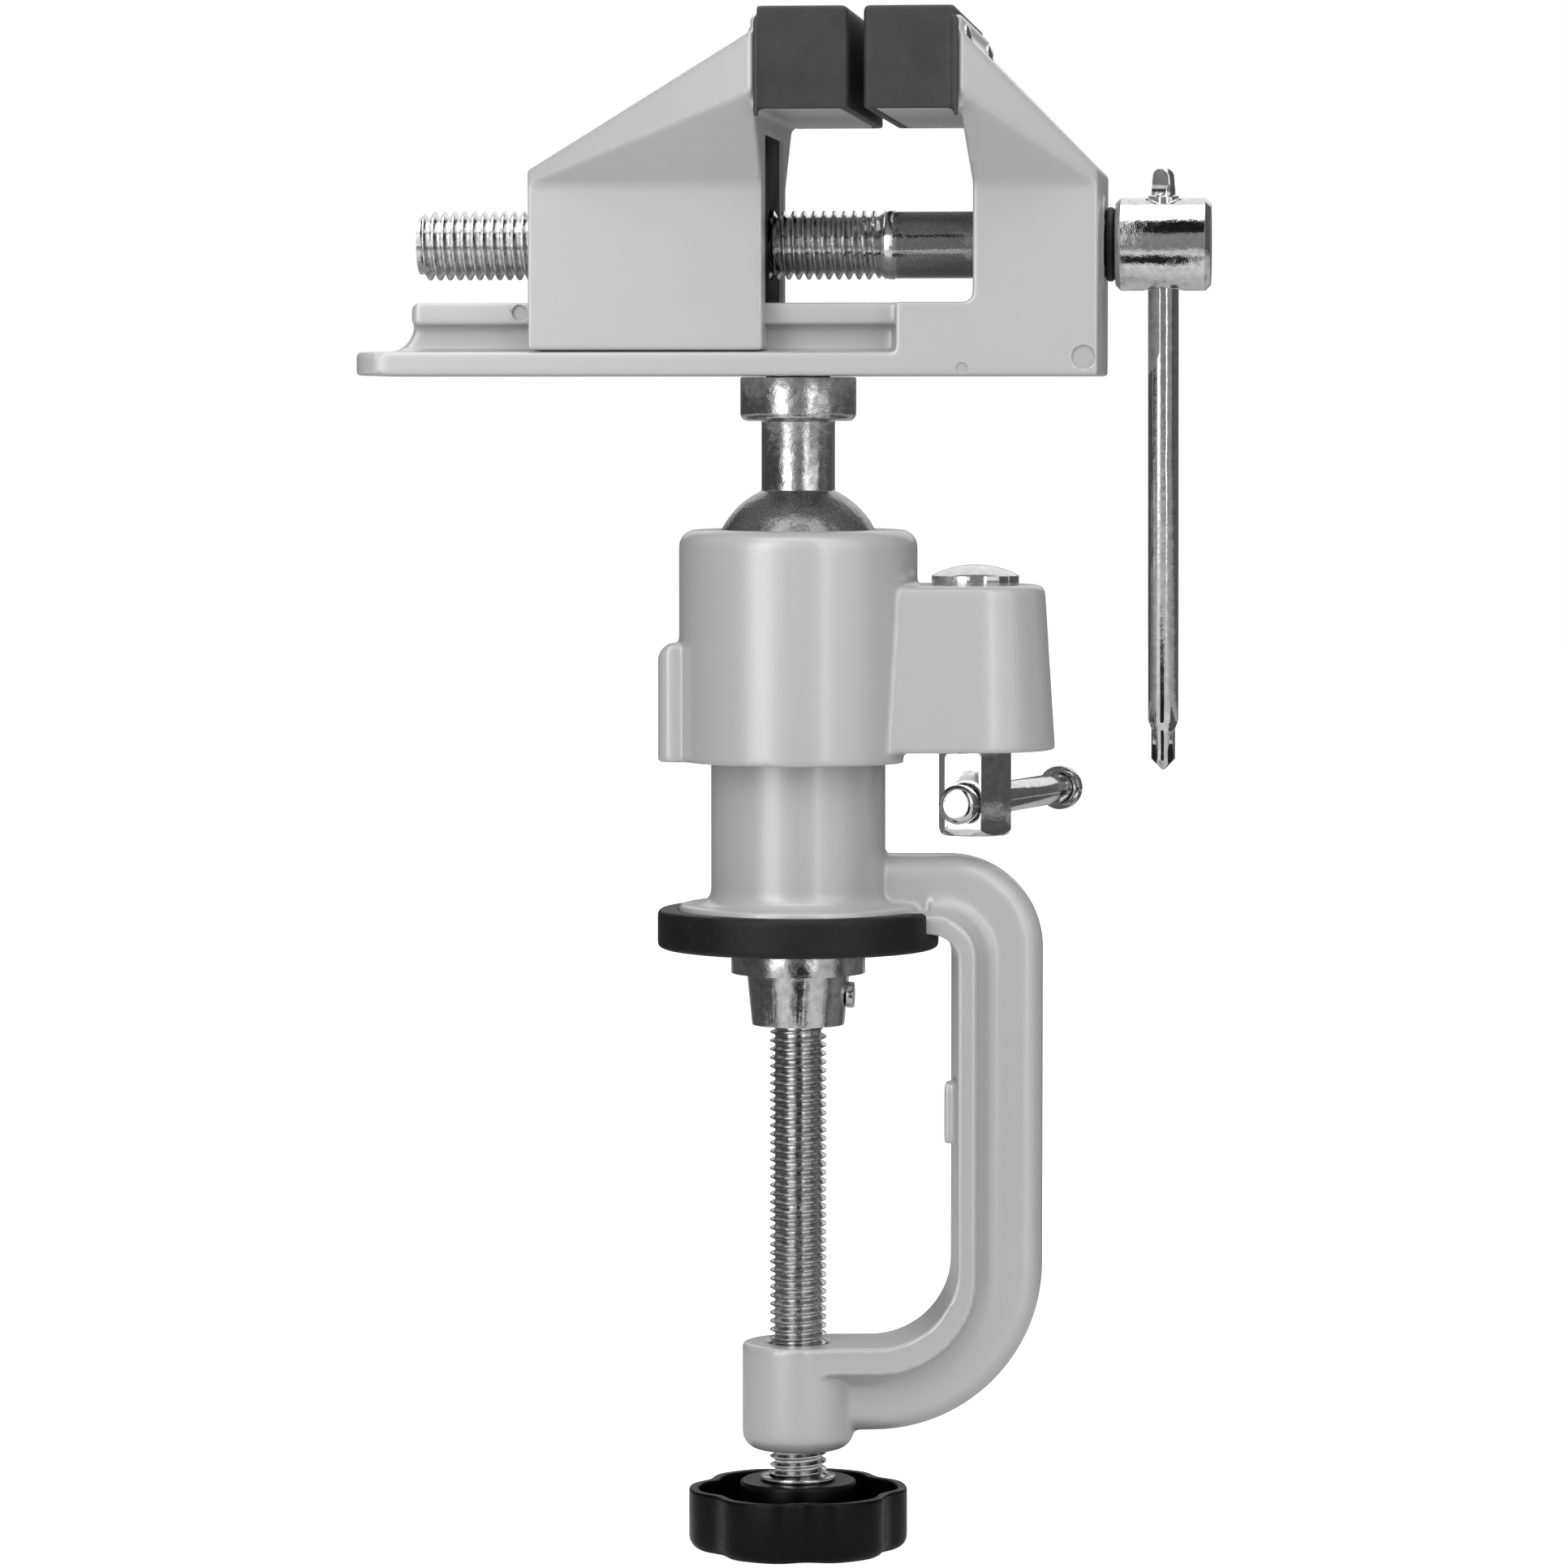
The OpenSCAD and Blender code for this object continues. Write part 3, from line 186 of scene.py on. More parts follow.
# Marks that the die leaves, in millimetres: middle, radius and depth of each ejector's round, and
# the block that stays of the gate
EJECTOR_MARKS = {"vise_bed": [((50.6, -21.0, 102.9), 2.0, 0.3), ((-46.8, -15.0, 110.6), 1.35, 0.6),
                              ((29.9, -21.0, 101.0), 1.0, 0.2)]}
EJECTOR_SIDES = 40
GATE_STUBS = {"c_frame": [((25.8, -2.7, -34.0), (28.6, 2.7, -23.5))]}

# Rounded start of the lead screw's shank, in millimetres: distance from the thread's end, radius
SHANK_ROWS = [(-1.5, 4.9), (-0.9, 5.25), (-0.3, 5.58), (0.3, 5.83), (0.9, 5.96), (1.6, 5.99),
              (1.7, 5.4)]
SHANK_SIDES = 64

# Parts of the jaws' rubber lips that are cut off, as lowest and highest corners in millimetres:
# the back of the top lip, its top, the far lip, the near end of the top lip and the foot
LIP_CUTS = {
    "fixed_jaw_cap": [((29.75, -40, 159.4), (31, 40, 163)), ((13, -40, 161.5), (31, 40, 163)),
                      ((27, 37.55, 140), (31, 40, 163)), ((27, -40, 159.4), (31, -37.55, 163)),
                      ((27, -36.6, 142), (31, 40, 144.25))],
    "moving_jaw_cap": [((-5, -40, 159.4), (-3.55, 40, 163)), ((-5, -40, 161.5), (13, 40, 163)),
                       ((-5, 37.55, 140), (-1, 40, 163)), ((-5, -40, 159.4), (-1, -37.55, 163)),
                       ((-5, -36.6, 142), (-1, 40, 144.25))]}


# ---------------------------------------------------------------- meshes

# Corners that lie nearer to each other than this, in metres, are made one
JOIN = 1e-6


def new_object(name, mesh):
    obj = bpy.data.objects.new(name, mesh)
    bpy.context.scene.collection.objects.link(obj)
    return obj


def cad_copy(node, name):
    """A copy of a CAD node with its loose triangles joined."""
    work = bmesh.new()
    work.from_mesh(nodes[node].data)
    bmesh.ops.remove_doubles(work, verts=work.verts, dist=JOIN)
    mesh = bpy.data.meshes.new(name)
    work.to_mesh(mesh)
    work.free()
    for layer in [a for a in mesh.attributes if a.name in ("custom_normal", "sharp_face")]:
        mesh.attributes.remove(layer)
    return new_object(name, mesh)


def settle(obj):
    """Turns what the modifiers make into the object's own plain mesh."""
    graph = bpy.context.evaluated_depsgraph_get()
    mesh = bpy.data.meshes.new_from_object(obj.evaluated_get(graph), depsgraph=graph)
    mesh.name = obj.name
    made = new_object(obj.name + "_made", mesh)
    name = obj.name
    bpy.data.objects.remove(obj)
    made.name = name
    return made


def shade(obj, sharp_above):
    """Smooth shading, but for edges that turn by more than sharp_above degrees."""
    for face in obj.data.polygons:
        face.use_smooth = True
    work = bmesh.new()
    work.from_mesh(obj.data)
    for edge in work.edges:
        edge.smooth = (len(edge.link_faces) == 2
                       and edge.calc_face_angle() < math.radians(sharp_above))
    work.to_mesh(obj.data)
    work.free()


def peg(name, place, r, depth):
    """A round peg along Y that reaches the depth to both sides of the place, in millimetres."""
    mesh = bpy.data.meshes.new(name)
    work = bmesh.new()
    bmesh.ops.create_cone(work, cap_ends=True, segments=EJECTOR_SIDES, radius1=r * MM,
                          radius2=r * MM, depth=2 * depth * MM,
                          matrix=Matrix.Translation(Vector(place) * MM)
                          @ Matrix.Rotation(math.radians(90), 4, "X"))
    work.to_mesh(mesh)
    work.free()
    return new_object(name, mesh)


def block(name, low, high):
    """A plain block between two corners given in millimetres."""
    mesh = bpy.data.meshes.new(name)
    work = bmesh.new()
    bmesh.ops.create_cube(work, size=1.0)
    middle = (Vector(low) + Vector(high)) / 2
    size = Vector(high) - Vector(low)
    for vert in work.verts:
        vert.co = MM * (middle + Vector(c * s for c, s in zip(vert.co, size)))
    work.to_mesh(mesh)
    work.free()
    return new_object(name, mesh)


def combined(piece, tool, operation):
    """The piece with the tool cut out of it or joined to it."""
    step = piece.modifiers.new(operation.lower(), "BOOLEAN")
    step.operation = operation
    step.solver = "EXACT"
    step.object = tool
    made = settle(piece)
    bpy.data.objects.remove(tool)
    return made


def cast(node):
    """The node with the soft edges and corners of a casting or a moulding."""
    piece = cad_copy(node, node + "_soft")
    for low, high in LIP_CUTS.get(node, ()):
        piece = combined(piece, block("lip_cut", low, high), "DIFFERENCE")
    for low, high in GATE_STUBS.get(node, ()):
        piece = combined(piece, block("gate_stub", low, high), "UNION")
    cells = piece.modifiers.new("cells", "REMESH")
    cells.mode = "VOXEL"
    cells.voxel_size = CELL[node] * MM
    cells.use_smooth_shade = True
    even = piece.modifiers.new("even", "SMOOTH")
    even.factor = EVENING_FACTOR
    even.iterations = EVENING[node]
    piece = settle(piece)
    for place, r, depth in EJECTOR_MARKS.get(node, ()):
        piece = combined(piece, peg("ejector_mark", place, r, depth), "DIFFERENCE")
    return piece


def outwards(obj):
    """Points all faces of a closed shell outwards."""
    work = bmesh.new()
    work.from_mesh(obj.data)
    bmesh.ops.recalc_face_normals(work, faces=work.faces)
    work.to_mesh(obj.data)
    work.free()


def machined(node, piece=None):
    """The node with its sharp edges broken, as turned and machined steel has them."""
    piece = piece or cad_copy(node, node + "_edged")
    work = bmesh.new()
    work.from_mesh(piece.data)
    bmesh.ops.dissolve_limit(work, angle_limit=math.radians(FLAT_WITHIN), verts=work.verts,
                             edges=work.edges)
    work.to_mesh(piece.data)
    work.free()
    bevel = piece.modifiers.new("edges", "BEVEL")
    bevel.width = EDGE[node] * MM
    bevel.segments = EDGE_STEPS
    bevel.limit_method = "ANGLE"
    bevel.angle_limit = math.radians(EDGE_FROM)
    bevel.use_clamp_overlap = True
    piece = settle(piece)
    shade(piece, SHARP_STEEL)
    return piece


def beyond(obj, place, direction):
    """Keeps what lies on the side of a plane that the direction points to, and closes the cut."""
    work = bmesh.new()
    work.from_mesh(obj.data)
    cut = bmesh.ops.bisect_plane(work, geom=work.verts[:] + work.edges[:] + work.faces[:],
                                 plane_co=place, plane_no=direction, clear_inner=True)
    rim = [e for e in cut["geom_cut"] if isinstance(e, bmesh.types.BMEdge)]
    bmesh.ops.holes_fill(work, edges=rim, sides=0)
    work.to_mesh(obj.data)
    work.free()
    return obj


def joined(name, *objects):
    """One object with the meshes of them all."""
    work = bmesh.new()
    for obj in objects:
        work.from_mesh(obj.data)
    mesh = bpy.data.meshes.new(name)
    work.to_mesh(mesh)
    work.free()
    mesh.update()
    for obj in objects:
        bpy.data.objects.remove(obj)
    return new_object(name, mesh)


# ---------------------------------------------------------------- node trees

class Tree:
    """A node tree with named inputs, and short ways to add nodes to it."""

    def __init__(self, tree):
        self.tree = tree

    @classmethod
    def geometry(cls, name, sockets):
        """A Geometry Nodes tree with these inputs: name, kind of socket, value."""
        group = bpy.data.node_groups.new(name, "GeometryNodeTree")
        face = group.interface
        face.new_socket("Geometry", in_out="INPUT", socket_type="NodeSocketGeometry")
        for label, kind, value in sockets:
            socket = face.new_socket(label, in_out="INPUT", socket_type="NodeSocket" + kind)
            if value is not None:
                socket.default_value = value
        face.new_socket("Geometry", in_out="OUTPUT", socket_type="NodeSocketGeometry")
        made = cls(group)
        made.given = made.add("NodeGroupInput").outputs
        return made

    @classmethod
    def effect(cls, name, inputs, outputs):
        """A shader node group with these inputs (name, kind, value) and outputs (name, kind)."""
        group = bpy.data.node_groups.new(name, "ShaderNodeTree")
        face = group.interface
        for label, kind, value in inputs:
            socket = face.new_socket(label, in_out="INPUT", socket_type="NodeSocket" + kind)
            socket.default_value = value
        for label, kind in outputs:
            face.new_socket(label, in_out="OUTPUT", socket_type="NodeSocket" + kind)
        made = cls(group)
        made.given = made.add("NodeGroupInput").outputs
        return made

    def add(self, kind, inputs=(), **settings):
        """A node, with its settings and its inputs: a value each, or a socket to link."""
        node = self.tree.nodes.new(kind)
        for key, value in settings.items():
            setattr(node, key, value)
        for key, value in dict(inputs).items():
            self.put(node.inputs[key], value)
        return node

    def put(self, socket, value):
        if isinstance(value, bpy.types.NodeSocket):
            self.tree.links.new(value, socket)
        else:
            socket.default_value = value

    def maths(self, operation, *values, clamp=False):
        node = self.add("ShaderNodeMath", operation=operation, use_clamp=clamp)
        for socket, value in zip(node.inputs, values):
            self.put(socket, value)
        return node.outputs[0]

    def whole(self, operation, *values):
        node = self.add("FunctionNodeIntegerMath", operation=operation)
        for socket, value in zip(node.inputs, values):
            self.put(socket, value)
        return node.outputs[0]

    def ramp(self, value, low, high, to_low=0.0, to_high=1.0, soft=False):
        """The value, spread from low..high to to_low..to_high."""
        node = self.add("ShaderNodeMapRange", interpolation_type="SMOOTHSTEP" if soft else "LINEAR")
        for key, number in (("Value", value), ("From Min", low), ("From Max", high),
                            ("To Min", to_low), ("To Max", to_high)):
            self.put(node.inputs[key], number)
        return node.outputs["Result"]

    def noise(self, where, scale, detail=2.0, roughness=0.5):
        node = self.add("ShaderNodeTexNoise", {"Vector": where, "Scale": scale, "Detail": detail,
                                               "Roughness": roughness})
        return node.outputs["Fac"]

    def mix(self, share, first, second):
        """A colour between two."""
        node = self.add("ShaderNodeMix", data_type="RGBA")
        for socket, value in zip((node.inputs[0], node.inputs[6], node.inputs[7]),
                                 (share, first, second)):
            self.put(socket, value)
        return node.outputs[2]

    def finish(self, *outputs):
        last = self.add("NodeGroupOutput")
        for socket, value in zip(last.inputs, outputs):
            self.put(socket, value)
        return self.tree


def run_tree(obj, tree, **values):
    """Runs a Geometry Nodes tree on the object with these inputs and keeps the mesh it makes."""
    stage = obj.modifiers.new(tree.name, "NODES")
    stage.node_group = tree
    names = {item.name: item.identifier for item in tree.interface.items_tree
             if item.item_type == "SOCKET" and item.in_out == "INPUT"}
    for key, value in values.items():
        stage[names[key.replace("_", " ")]] = value
    return settle(obj)


# ---------------------------------------------------------------- finishes

def pale(value):
    return (value, value, value, 1.0)


def effect_mottle():
    """Blotches of two sizes, from 0 to 1, as plating and castings have them."""
    t = Tree.effect("mottle", [("Size", "Float", 2 * MM), ("Contrast", "Float", 0.5)],
                    [("Blotch", "Float"), ("Speck", "Float")])
    where = t.add("ShaderNodeTexCoord").outputs["Object"]
    scale = t.maths("DIVIDE", 1.0, t.given["Size"])
    wide = t.noise(where, scale, 3.0, 0.6)
    fine = t.noise(where, t.maths("MULTIPLY", scale, 5.0), 2.0, 0.5)
    low = t.maths("MULTIPLY_ADD", t.given["Contrast"], -0.25, 0.5)
    high = t.maths("MULTIPLY_ADD", t.given["Contrast"], 0.25, 0.5)
    return t.finish(t.ramp(wide, low, high, soft=True), t.ramp(fine, low, high, soft=True))


def effect_skin():
    """The height of a sprayed or moulded skin: a fine grain over slow waves."""
    t = Tree.effect("skin", [("Grain", "Float", 0.5 * MM), ("Waves", "Float", 4 * MM),
                             ("Waviness", "Float", 0.5)], [("Height", "Float")])
    where = t.add("ShaderNodeTexCoord").outputs["Object"]
    grain = t.noise(where, t.maths("DIVIDE", 1.0, t.given["Grain"]), 2.0, 0.55)
    waves = t.noise(where, t.maths("DIVIDE", 1.0, t.given["Waves"]), 1.0, 0.4)
    return t.finish(t.maths("ADD", grain, t.maths("MULTIPLY", waves, t.given["Waviness"])))


def effect_edges():
    """How far a place stands out as an edge, and how far it lies in a corner, from 0 to 1; the
    corner mask places painted shade.
    """
    t = Tree.effect("edges", [("Reach", "Float", 0.06)], [("Edge", "Float"), ("Corner", "Float")])
    bend = t.add("ShaderNodeNewGeometry").outputs["Pointiness"]
    out = t.ramp(bend, 0.5, t.maths("ADD", 0.5, t.given["Reach"]), soft=True)
    into = t.ramp(bend, 0.5, t.maths("SUBTRACT", 0.5, t.given["Reach"]), soft=True)
    return t.finish(out, into)


MOTTLE = effect_mottle()
SKIN = effect_skin()
EDGES = effect_edges()


class Finish(Tree):
    """A material: a Principled BSDF with what feeds it."""

    def __init__(self, name, **constants):
        self.material = bpy.data.materials.new(name)
        self.material.use_nodes = True
        super().__init__(self.material.node_tree)
        self.shader = self.tree.nodes["Principled BSDF"]
        for key, value in constants.items():
            self.shader.inputs[key.replace("_", " ")].default_value = value

    def place(self, group, **values):
        node = self.add("ShaderNodeGroup", node_tree=group)
        for key, value in values.items():
            self.put(node.inputs[key], value)
        return node.outputs

    def feed(self, **sockets):
        for key, value in sockets.items():
            self.put(self.shader.inputs[key.replace("_", " ")], value)

    def bump(self, height, depth, strength):
        node = self.add("ShaderNodeBump",
                        {"Height": height, "Distance": depth, "Strength": strength})
        self.put(self.shader.inputs["Normal"], node.outputs["Normal"])


# Half the length over which a dull part of the steel begins and ends; on the lead screw that part
# is also darker, as painted shade
DULL_AND_SHADED_BLUR = 0.3 * MM


def surface(name, shades, rough, rough_by="Speck", blotches=4, contrast=1.2, grain=0.25, waves=5,
            waviness=1.0, dents=0.02, strength=0.5, reach=0.08, corner=None, edge=None, coat=None,
            dull=None, **constants):
    """Blotches of two shades over a grained skin, with all lengths in millimetres. Corner and edge
    say how much corners and edges have of which shade: the darker corners are painted shade, and
    the paler edges of paint and plastic a painted highlight. Coat gives the weight of a clear coat,
    and dull names an axis, two places on it in metres, and the shades and the added roughness of
    what lies between them; on the lead screw that part is darker as painted shade."""
    m = Finish(name, **constants)
    skin = m.place(SKIN, Grain=grain * MM, Waves=waves * MM, Waviness=waviness)
    blotch = m.place(MOTTLE, Size=blotches * MM, Contrast=contrast)
    body = m.mix(blotch["Blotch"], pale(shades[0]), pale(shades[1]))
    for where, other in (("Corner", corner), ("Edge", edge)):
        if other:
            share = m.maths("MULTIPLY", m.place(EDGES, Reach=reach)[where], other[0])
            body = m.mix(share, body, pale(other[1]))
    roughness = m.ramp(blotch[rough_by], 0, 1, *rough)
    if dull:
        axis, first, last, dark, light, rougher = dull
        where = m.add("ShaderNodeTexCoord").outputs["Object"]
        along = m.add("ShaderNodeSeparateXYZ", {"Vector": where}).outputs[axis]
        share = m.maths("MULTIPLY", m.ramp(along, last + DULL_AND_SHADED_BLUR, last - DULL_AND_SHADED_BLUR, soft=True),
                        m.ramp(along, first - DULL_AND_SHADED_BLUR, first + DULL_AND_SHADED_BLUR, soft=True))
        body = m.mix(share, body, m.mix(blotch["Speck"], pale(dark), pale(light)))
        roughness = m.maths("MULTIPLY_ADD", share, rougher, roughness)
    if coat:
        m.feed(Coat_Weight=m.ramp(blotch["Blotch"], 0, 1, *coat))
    m.feed(Base_Color=body, Roughness=roughness)
    m.bump(skin["Height"], dents * MM, strength)
    return m.material


# Satin light grey paint on die-cast metal, with painted shade in its corners and a painted
# highlight along its edges
PAINT = surface("cast_paint_satin", (0.505, 0.52), (0.295, 0.315), blotches=14, contrast=1.6,
                grain=1.4, waves=7, waviness=2.0, dents=0.012, strength=0.4, reach=0.05,
                corner=(0.25, 0.34), edge=(0.25, 0.60), coat=(0.12, 0.16),
                IOR=1.5, Metallic=0.18, Coat_Roughness=0.12, Coat_IOR=1.5)

# Moulded rubber: dull, and paler along its edges
RUBBER = dict(blotches=5, grain=0.35, dents=0.03, strength=0.6, IOR=1.45, Specular_IOR_Level=0.4)
JAW_RUBBER = surface("jaw_rubber_grey", (0.030, 0.042), (0.49, 0.61), edge=(0.5, 0.0798), **RUBBER)
PAD_RUBBER = surface("pad_rubber_black", (0.006, 0.010), (0.44, 0.56), edge=(0.5, 0.019), **RUBBER)

# Black moulded plastic with a soft gloss and a painted highlight along its edges, and dull black
# paint on sheet steel
KNOB_BLACK = surface("knob_plastic_black", (0.002, 0.002), (0.24, 0.38), rough_by="Blotch",
                     grain=0.3, waves=6, waviness=2.0, dents=0.025, edge=(0.4, 0.010),
                     IOR=1.5, Specular_IOR_Level=0.16)
COVER_BLACK = surface("cover_black_dull", (0.004, 0.007), (0.55, 0.7), contrast=1.0, grain=0.4,
                      IOR=1.45, Specular_IOR_Level=0.12)

# Plated steel: bright, with blotches where the plating is duller, over small dents, and with
# painted shade in its corners
STEEL = dict(contrast=1.1, waves=1.8, waviness=3.0, strength=0.6, reach=0.1, Metallic=1.0)
CHROME = surface("chrome_bright", (0.76, 0.55), (0.05, 0.13), blotches=1.6, dents=0.014, grain=0.5,
                 corner=(0.5, 0.275), **STEEL)
ZINC = surface("zinc_plated", (0.70, 0.46), (0.10, 0.22), blotches=1.3, dents=0.045,
               corner=(0.5, 0.23), **STEEL)
STUD_STEEL = surface("stud_steel_plated", (0.70, 0.42), (0.08, 0.21), blotches=1.2, dents=0.065,
                     corner=(0.5, 0.21), dull=("Z", -1.0, BALL_TOP, 0.22, 0.44, 0.12), **STEEL)
# The lead screw's shank is darker than its head and thread as painted shade, standing in for the
# shaded jaws and bed that it reflects; it is also a little rougher
SCREW_STEEL = surface("lead_screw_plated", (0.80, 0.58), (0.04, 0.12), blotches=1.0, dents=0.035,
                      grain=0.3, corner=(0.5, 0.29),
                      dull=("X", SHANK_START, HEAD_START, 0.22, 0.60, 0.03), **STEEL)

SLOT_FINISH = {"cast_paint": PAINT, "jaw_rubber": JAW_RUBBER, "pad_rubber": PAD_RUBBER,
               "knob_plastic": KNOB_BLACK, "chrome": CHROME, "zinc_steel": ZINC,
               "dark_steel": STUD_STEEL}
node_slot = {row["node"]: row["material_slot"] for row in frame["record"]["subparts"]}
body_of = {node: body for body, members in frame["record"]["behaviour"]["bodies"].items()
           for node in members}


def fit(piece, node, material=None):
    """Puts the piece in the place of a CAD node, on its body and with its material."""
    piece.data.materials.clear()
    piece.data.materials.append(material or SLOT_FINISH[node_slot[node]])
    for face in piece.data.polygons:
        face.material_index = 0
    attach(piece, body_of[node])
    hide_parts(node)
    return piece


# ---------------------------------------------------------------- threads

def thread_tree():
    """A round rod along Z from zero, with a right-hand thread wound on it."""
    t = Tree.geometry("cut_thread", [
        ("Length", "Float", 50 * MM), ("Radius", "Float", LEAD_THREAD_R),
        ("Pitch", "Float", LEAD_PITCH), ("Depth", "Float", THREAD_DEPTH),
        ("Crest", "Float", THREAD_CREST), ("Foot", "Float", THREAD_FOOT),
        ("Runout", "Float", THREAD_RUNOUT), ("Steps", "Int", THREAD_STEPS),
        ("Material", "Material", None)])
    given = t.given
    depth = t.maths("MULTIPLY", given["Depth"], given["Pitch"])
    root = t.maths("SUBTRACT", given["Radius"], depth)
    turns = t.maths("DIVIDE", given["Length"], given["Pitch"])
    coil = t.add("GeometryNodeCurveSpiral", {
        "Resolution": given["Steps"], "Rotations": turns, "Start Radius": root, "End Radius": root,
        "Height": given["Length"], "Reverse": True})
    upright = t.add("GeometryNodeSetCurveNormal", {"Curve": coil.outputs[0]}, mode="Z_UP")
    along = t.add("GeometryNodeSplineParameter").outputs["Factor"]
    start = t.maths("MULTIPLY", along, turns)
    end = t.maths("SUBTRACT", turns, start)
    swell = t.maths("MAXIMUM", t.maths("DIVIDE", t.maths("MINIMUM", start, end), given["Runout"],
                                       clamp=True), THREAD_LEAST)
    foot = t.maths("MULTIPLY", t.maths("MULTIPLY", given["Foot"], given["Pitch"]), 0.5)
    crest = t.maths("MULTIPLY", t.maths("MULTIPLY", given["Crest"], given["Pitch"]), 0.5)
    sink = t.maths("MULTIPLY", depth, -THREAD_SINK)

    def corner(out, up):
        return t.add("ShaderNodeCombineXYZ", {"X": out, "Y": up, "Z": 0.0}).outputs[0]

    section = t.add("GeometryNodeCurvePrimitiveQuadrilateral", {
        "Point 1": corner(sink, t.maths("MULTIPLY", foot, -1.0)),
        "Point 2": corner(depth, t.maths("MULTIPLY", crest, -1.0)),
        "Point 3": corner(depth, crest),
        "Point 4": corner(sink, foot)}, mode="POINTS")
    ridge = t.add("GeometryNodeCurveToMesh", {
        "Curve": upright.outputs[0], "Profile Curve": section.outputs[0], "Scale": swell,
        "Fill Caps": True})
    core = t.add("GeometryNodeMeshCylinder", {
        "Vertices": given["Steps"], "Radius": root, "Depth": given["Length"]})
    raised = t.add("GeometryNodeTransform", {
        "Geometry": core.outputs["Mesh"],
        "Translation": t.add("ShaderNodeCombineXYZ", {
            "Z": t.maths("MULTIPLY", given["Length"], 0.5)}).outputs[0]})
    both = t.add("GeometryNodeJoinGeometry")
    for part in (ridge.outputs[0], raised.outputs[0]):
        t.tree.links.new(part, both.inputs[0])
    solid = t.add("GeometryNodeRealizeInstances", {"Geometry": both.outputs[0]})
    named = t.add("GeometryNodeSetMaterial", {"Geometry": solid.outputs[0],
                                              "Material": given["Material"]})
    return t.finish(named.outputs[0])


THREAD = thread_tree()


def threaded_rod(name, length, radius, pitch, place, material):
    """A threaded rod whose axis runs along the place's Z from its origin."""
    rod = run_tree(new_object(name, bpy.data.meshes.new(name)), THREAD, Length=length,
                   Radius=radius, Pitch=pitch, Depth=THREAD_DEPTH, Crest=THREAD_CREST,
                   Foot=THREAD_FOOT, Runout=THREAD_RUNOUT, Steps=THREAD_STEPS, Material=material)
    rod.data.transform(place)
    shade(rod, SHARP_THREAD)
    return rod


# ---------------------------------------------------------------- knob

def lobed_knob_tree():
    """Turns a half section (X out, Z up) about Z and draws it in between the lobes."""
    t = Tree.geometry("lobed_knob", [
        ("Steps", "Int", KNOB_STEPS), ("Lobes", "Int", KNOB_LOBES),
        ("Hollow", "Float", KNOB_HOLLOW * MM), ("Power", "Float", KNOB_HOLLOW_POWER),
        ("Phase", "Float", math.radians(KNOB_PHASE)), ("Still Radius", "Float", KNOB_HUB_R * MM),
        ("Full Radius", "Float", KNOB_FULL_R * MM), ("Corner Steps", "Int", KNOB_CORNER_STEPS),
        ("Material", "Material", None)])
    given = t.given
    rounding = t.add("GeometryNodeInputNamedAttribute", {"Name": "rounding"}, data_type="FLOAT")
    line = t.add("GeometryNodeMeshToCurve", {"Mesh": given["Geometry"]})
    soft = t.add("GeometryNodeFilletCurve", {
        "Curve": line.outputs[0], "Radius": rounding.outputs[0], "Count": given["Corner Steps"]},
        mode="POLY")
    edge = t.add("GeometryNodeCurveToMesh", {"Curve": soft.outputs[0]})
    size = t.add("GeometryNodeAttributeDomainSize", {"Geometry": edge.outputs[0]})
    count = size.outputs["Point Count"]
    sheet = t.add("GeometryNodeMeshGrid", {
        "Vertices X": t.whole("ADD", given["Steps"], 1), "Vertices Y": count})
    index = t.add("GeometryNodeInputIndex").outputs[0]
    across = t.maths("MODULO", index, count)
    around = t.maths("FLOOR", t.maths("DIVIDE", t.maths("ADD", index, 0.5), count))
    place = t.add("GeometryNodeSampleIndex", {
        "Geometry": edge.outputs[0], "Value": t.add("GeometryNodeInputPosition").outputs[0],
        "Index": across}, data_type="FLOAT_VECTOR")
    apart = t.add("ShaderNodeSeparateXYZ", {"Vector": place.outputs[0]}).outputs
    turn = t.maths("MULTIPLY", t.maths("DIVIDE", around, given["Steps"]), math.tau)
    turned = t.maths("SUBTRACT", turn, given["Phase"])
    lobe = t.maths("COSINE", t.maths("MULTIPLY", turned, given["Lobes"]))
    wave = t.maths("POWER", t.maths("MULTIPLY_ADD", lobe, -0.5, 0.5), given["Power"])
    share = t.ramp(apart["X"], given["Still Radius"], given["Full Radius"])
    drawn_in = t.maths("MULTIPLY", t.maths("MULTIPLY", wave, given["Hollow"]), share)
    out = t.maths("SUBTRACT", apart["X"], drawn_in)
    spot = t.add("ShaderNodeCombineXYZ", {"X": t.maths("MULTIPLY", out, t.maths("COSINE", turn)),
                                          "Y": t.maths("MULTIPLY", out, t.maths("SINE", turn)),
                                          "Z": apart["Z"]})
    round_ = t.add("GeometryNodeSetPosition", {"Geometry": sheet.outputs["Mesh"],
                                               "Position": spot.outputs[0]})
    closed = t.add("GeometryNodeMergeByDistance",
                   {"Geometry": round_.outputs[0], "Distance": 2 * JOIN})
    solid = t.add("GeometryNodeRealizeInstances", {"Geometry": closed.outputs[0]})
    named = t.add("GeometryNodeSetMaterial", {"Geometry": solid.outputs[0],
                                              "Material": given["Material"]})
    return t.finish(named.outputs[0])


def section_line(name, corners):
    """An open line of corners (radius, height, rounding), in millimetres."""
    mesh = bpy.data.meshes.new(name)
    mesh.from_pydata([(r * MM, 0, z * MM) for r, z, _ in corners],
                     [(i, i + 1) for i in range(len(corners) - 1)], [])
    rounding = mesh.attributes.new("rounding", "FLOAT", "POINT")
    rounding.data.foreach_set("value", [corner[2] * MM for corner in corners])
    return new_object(name, mesh)


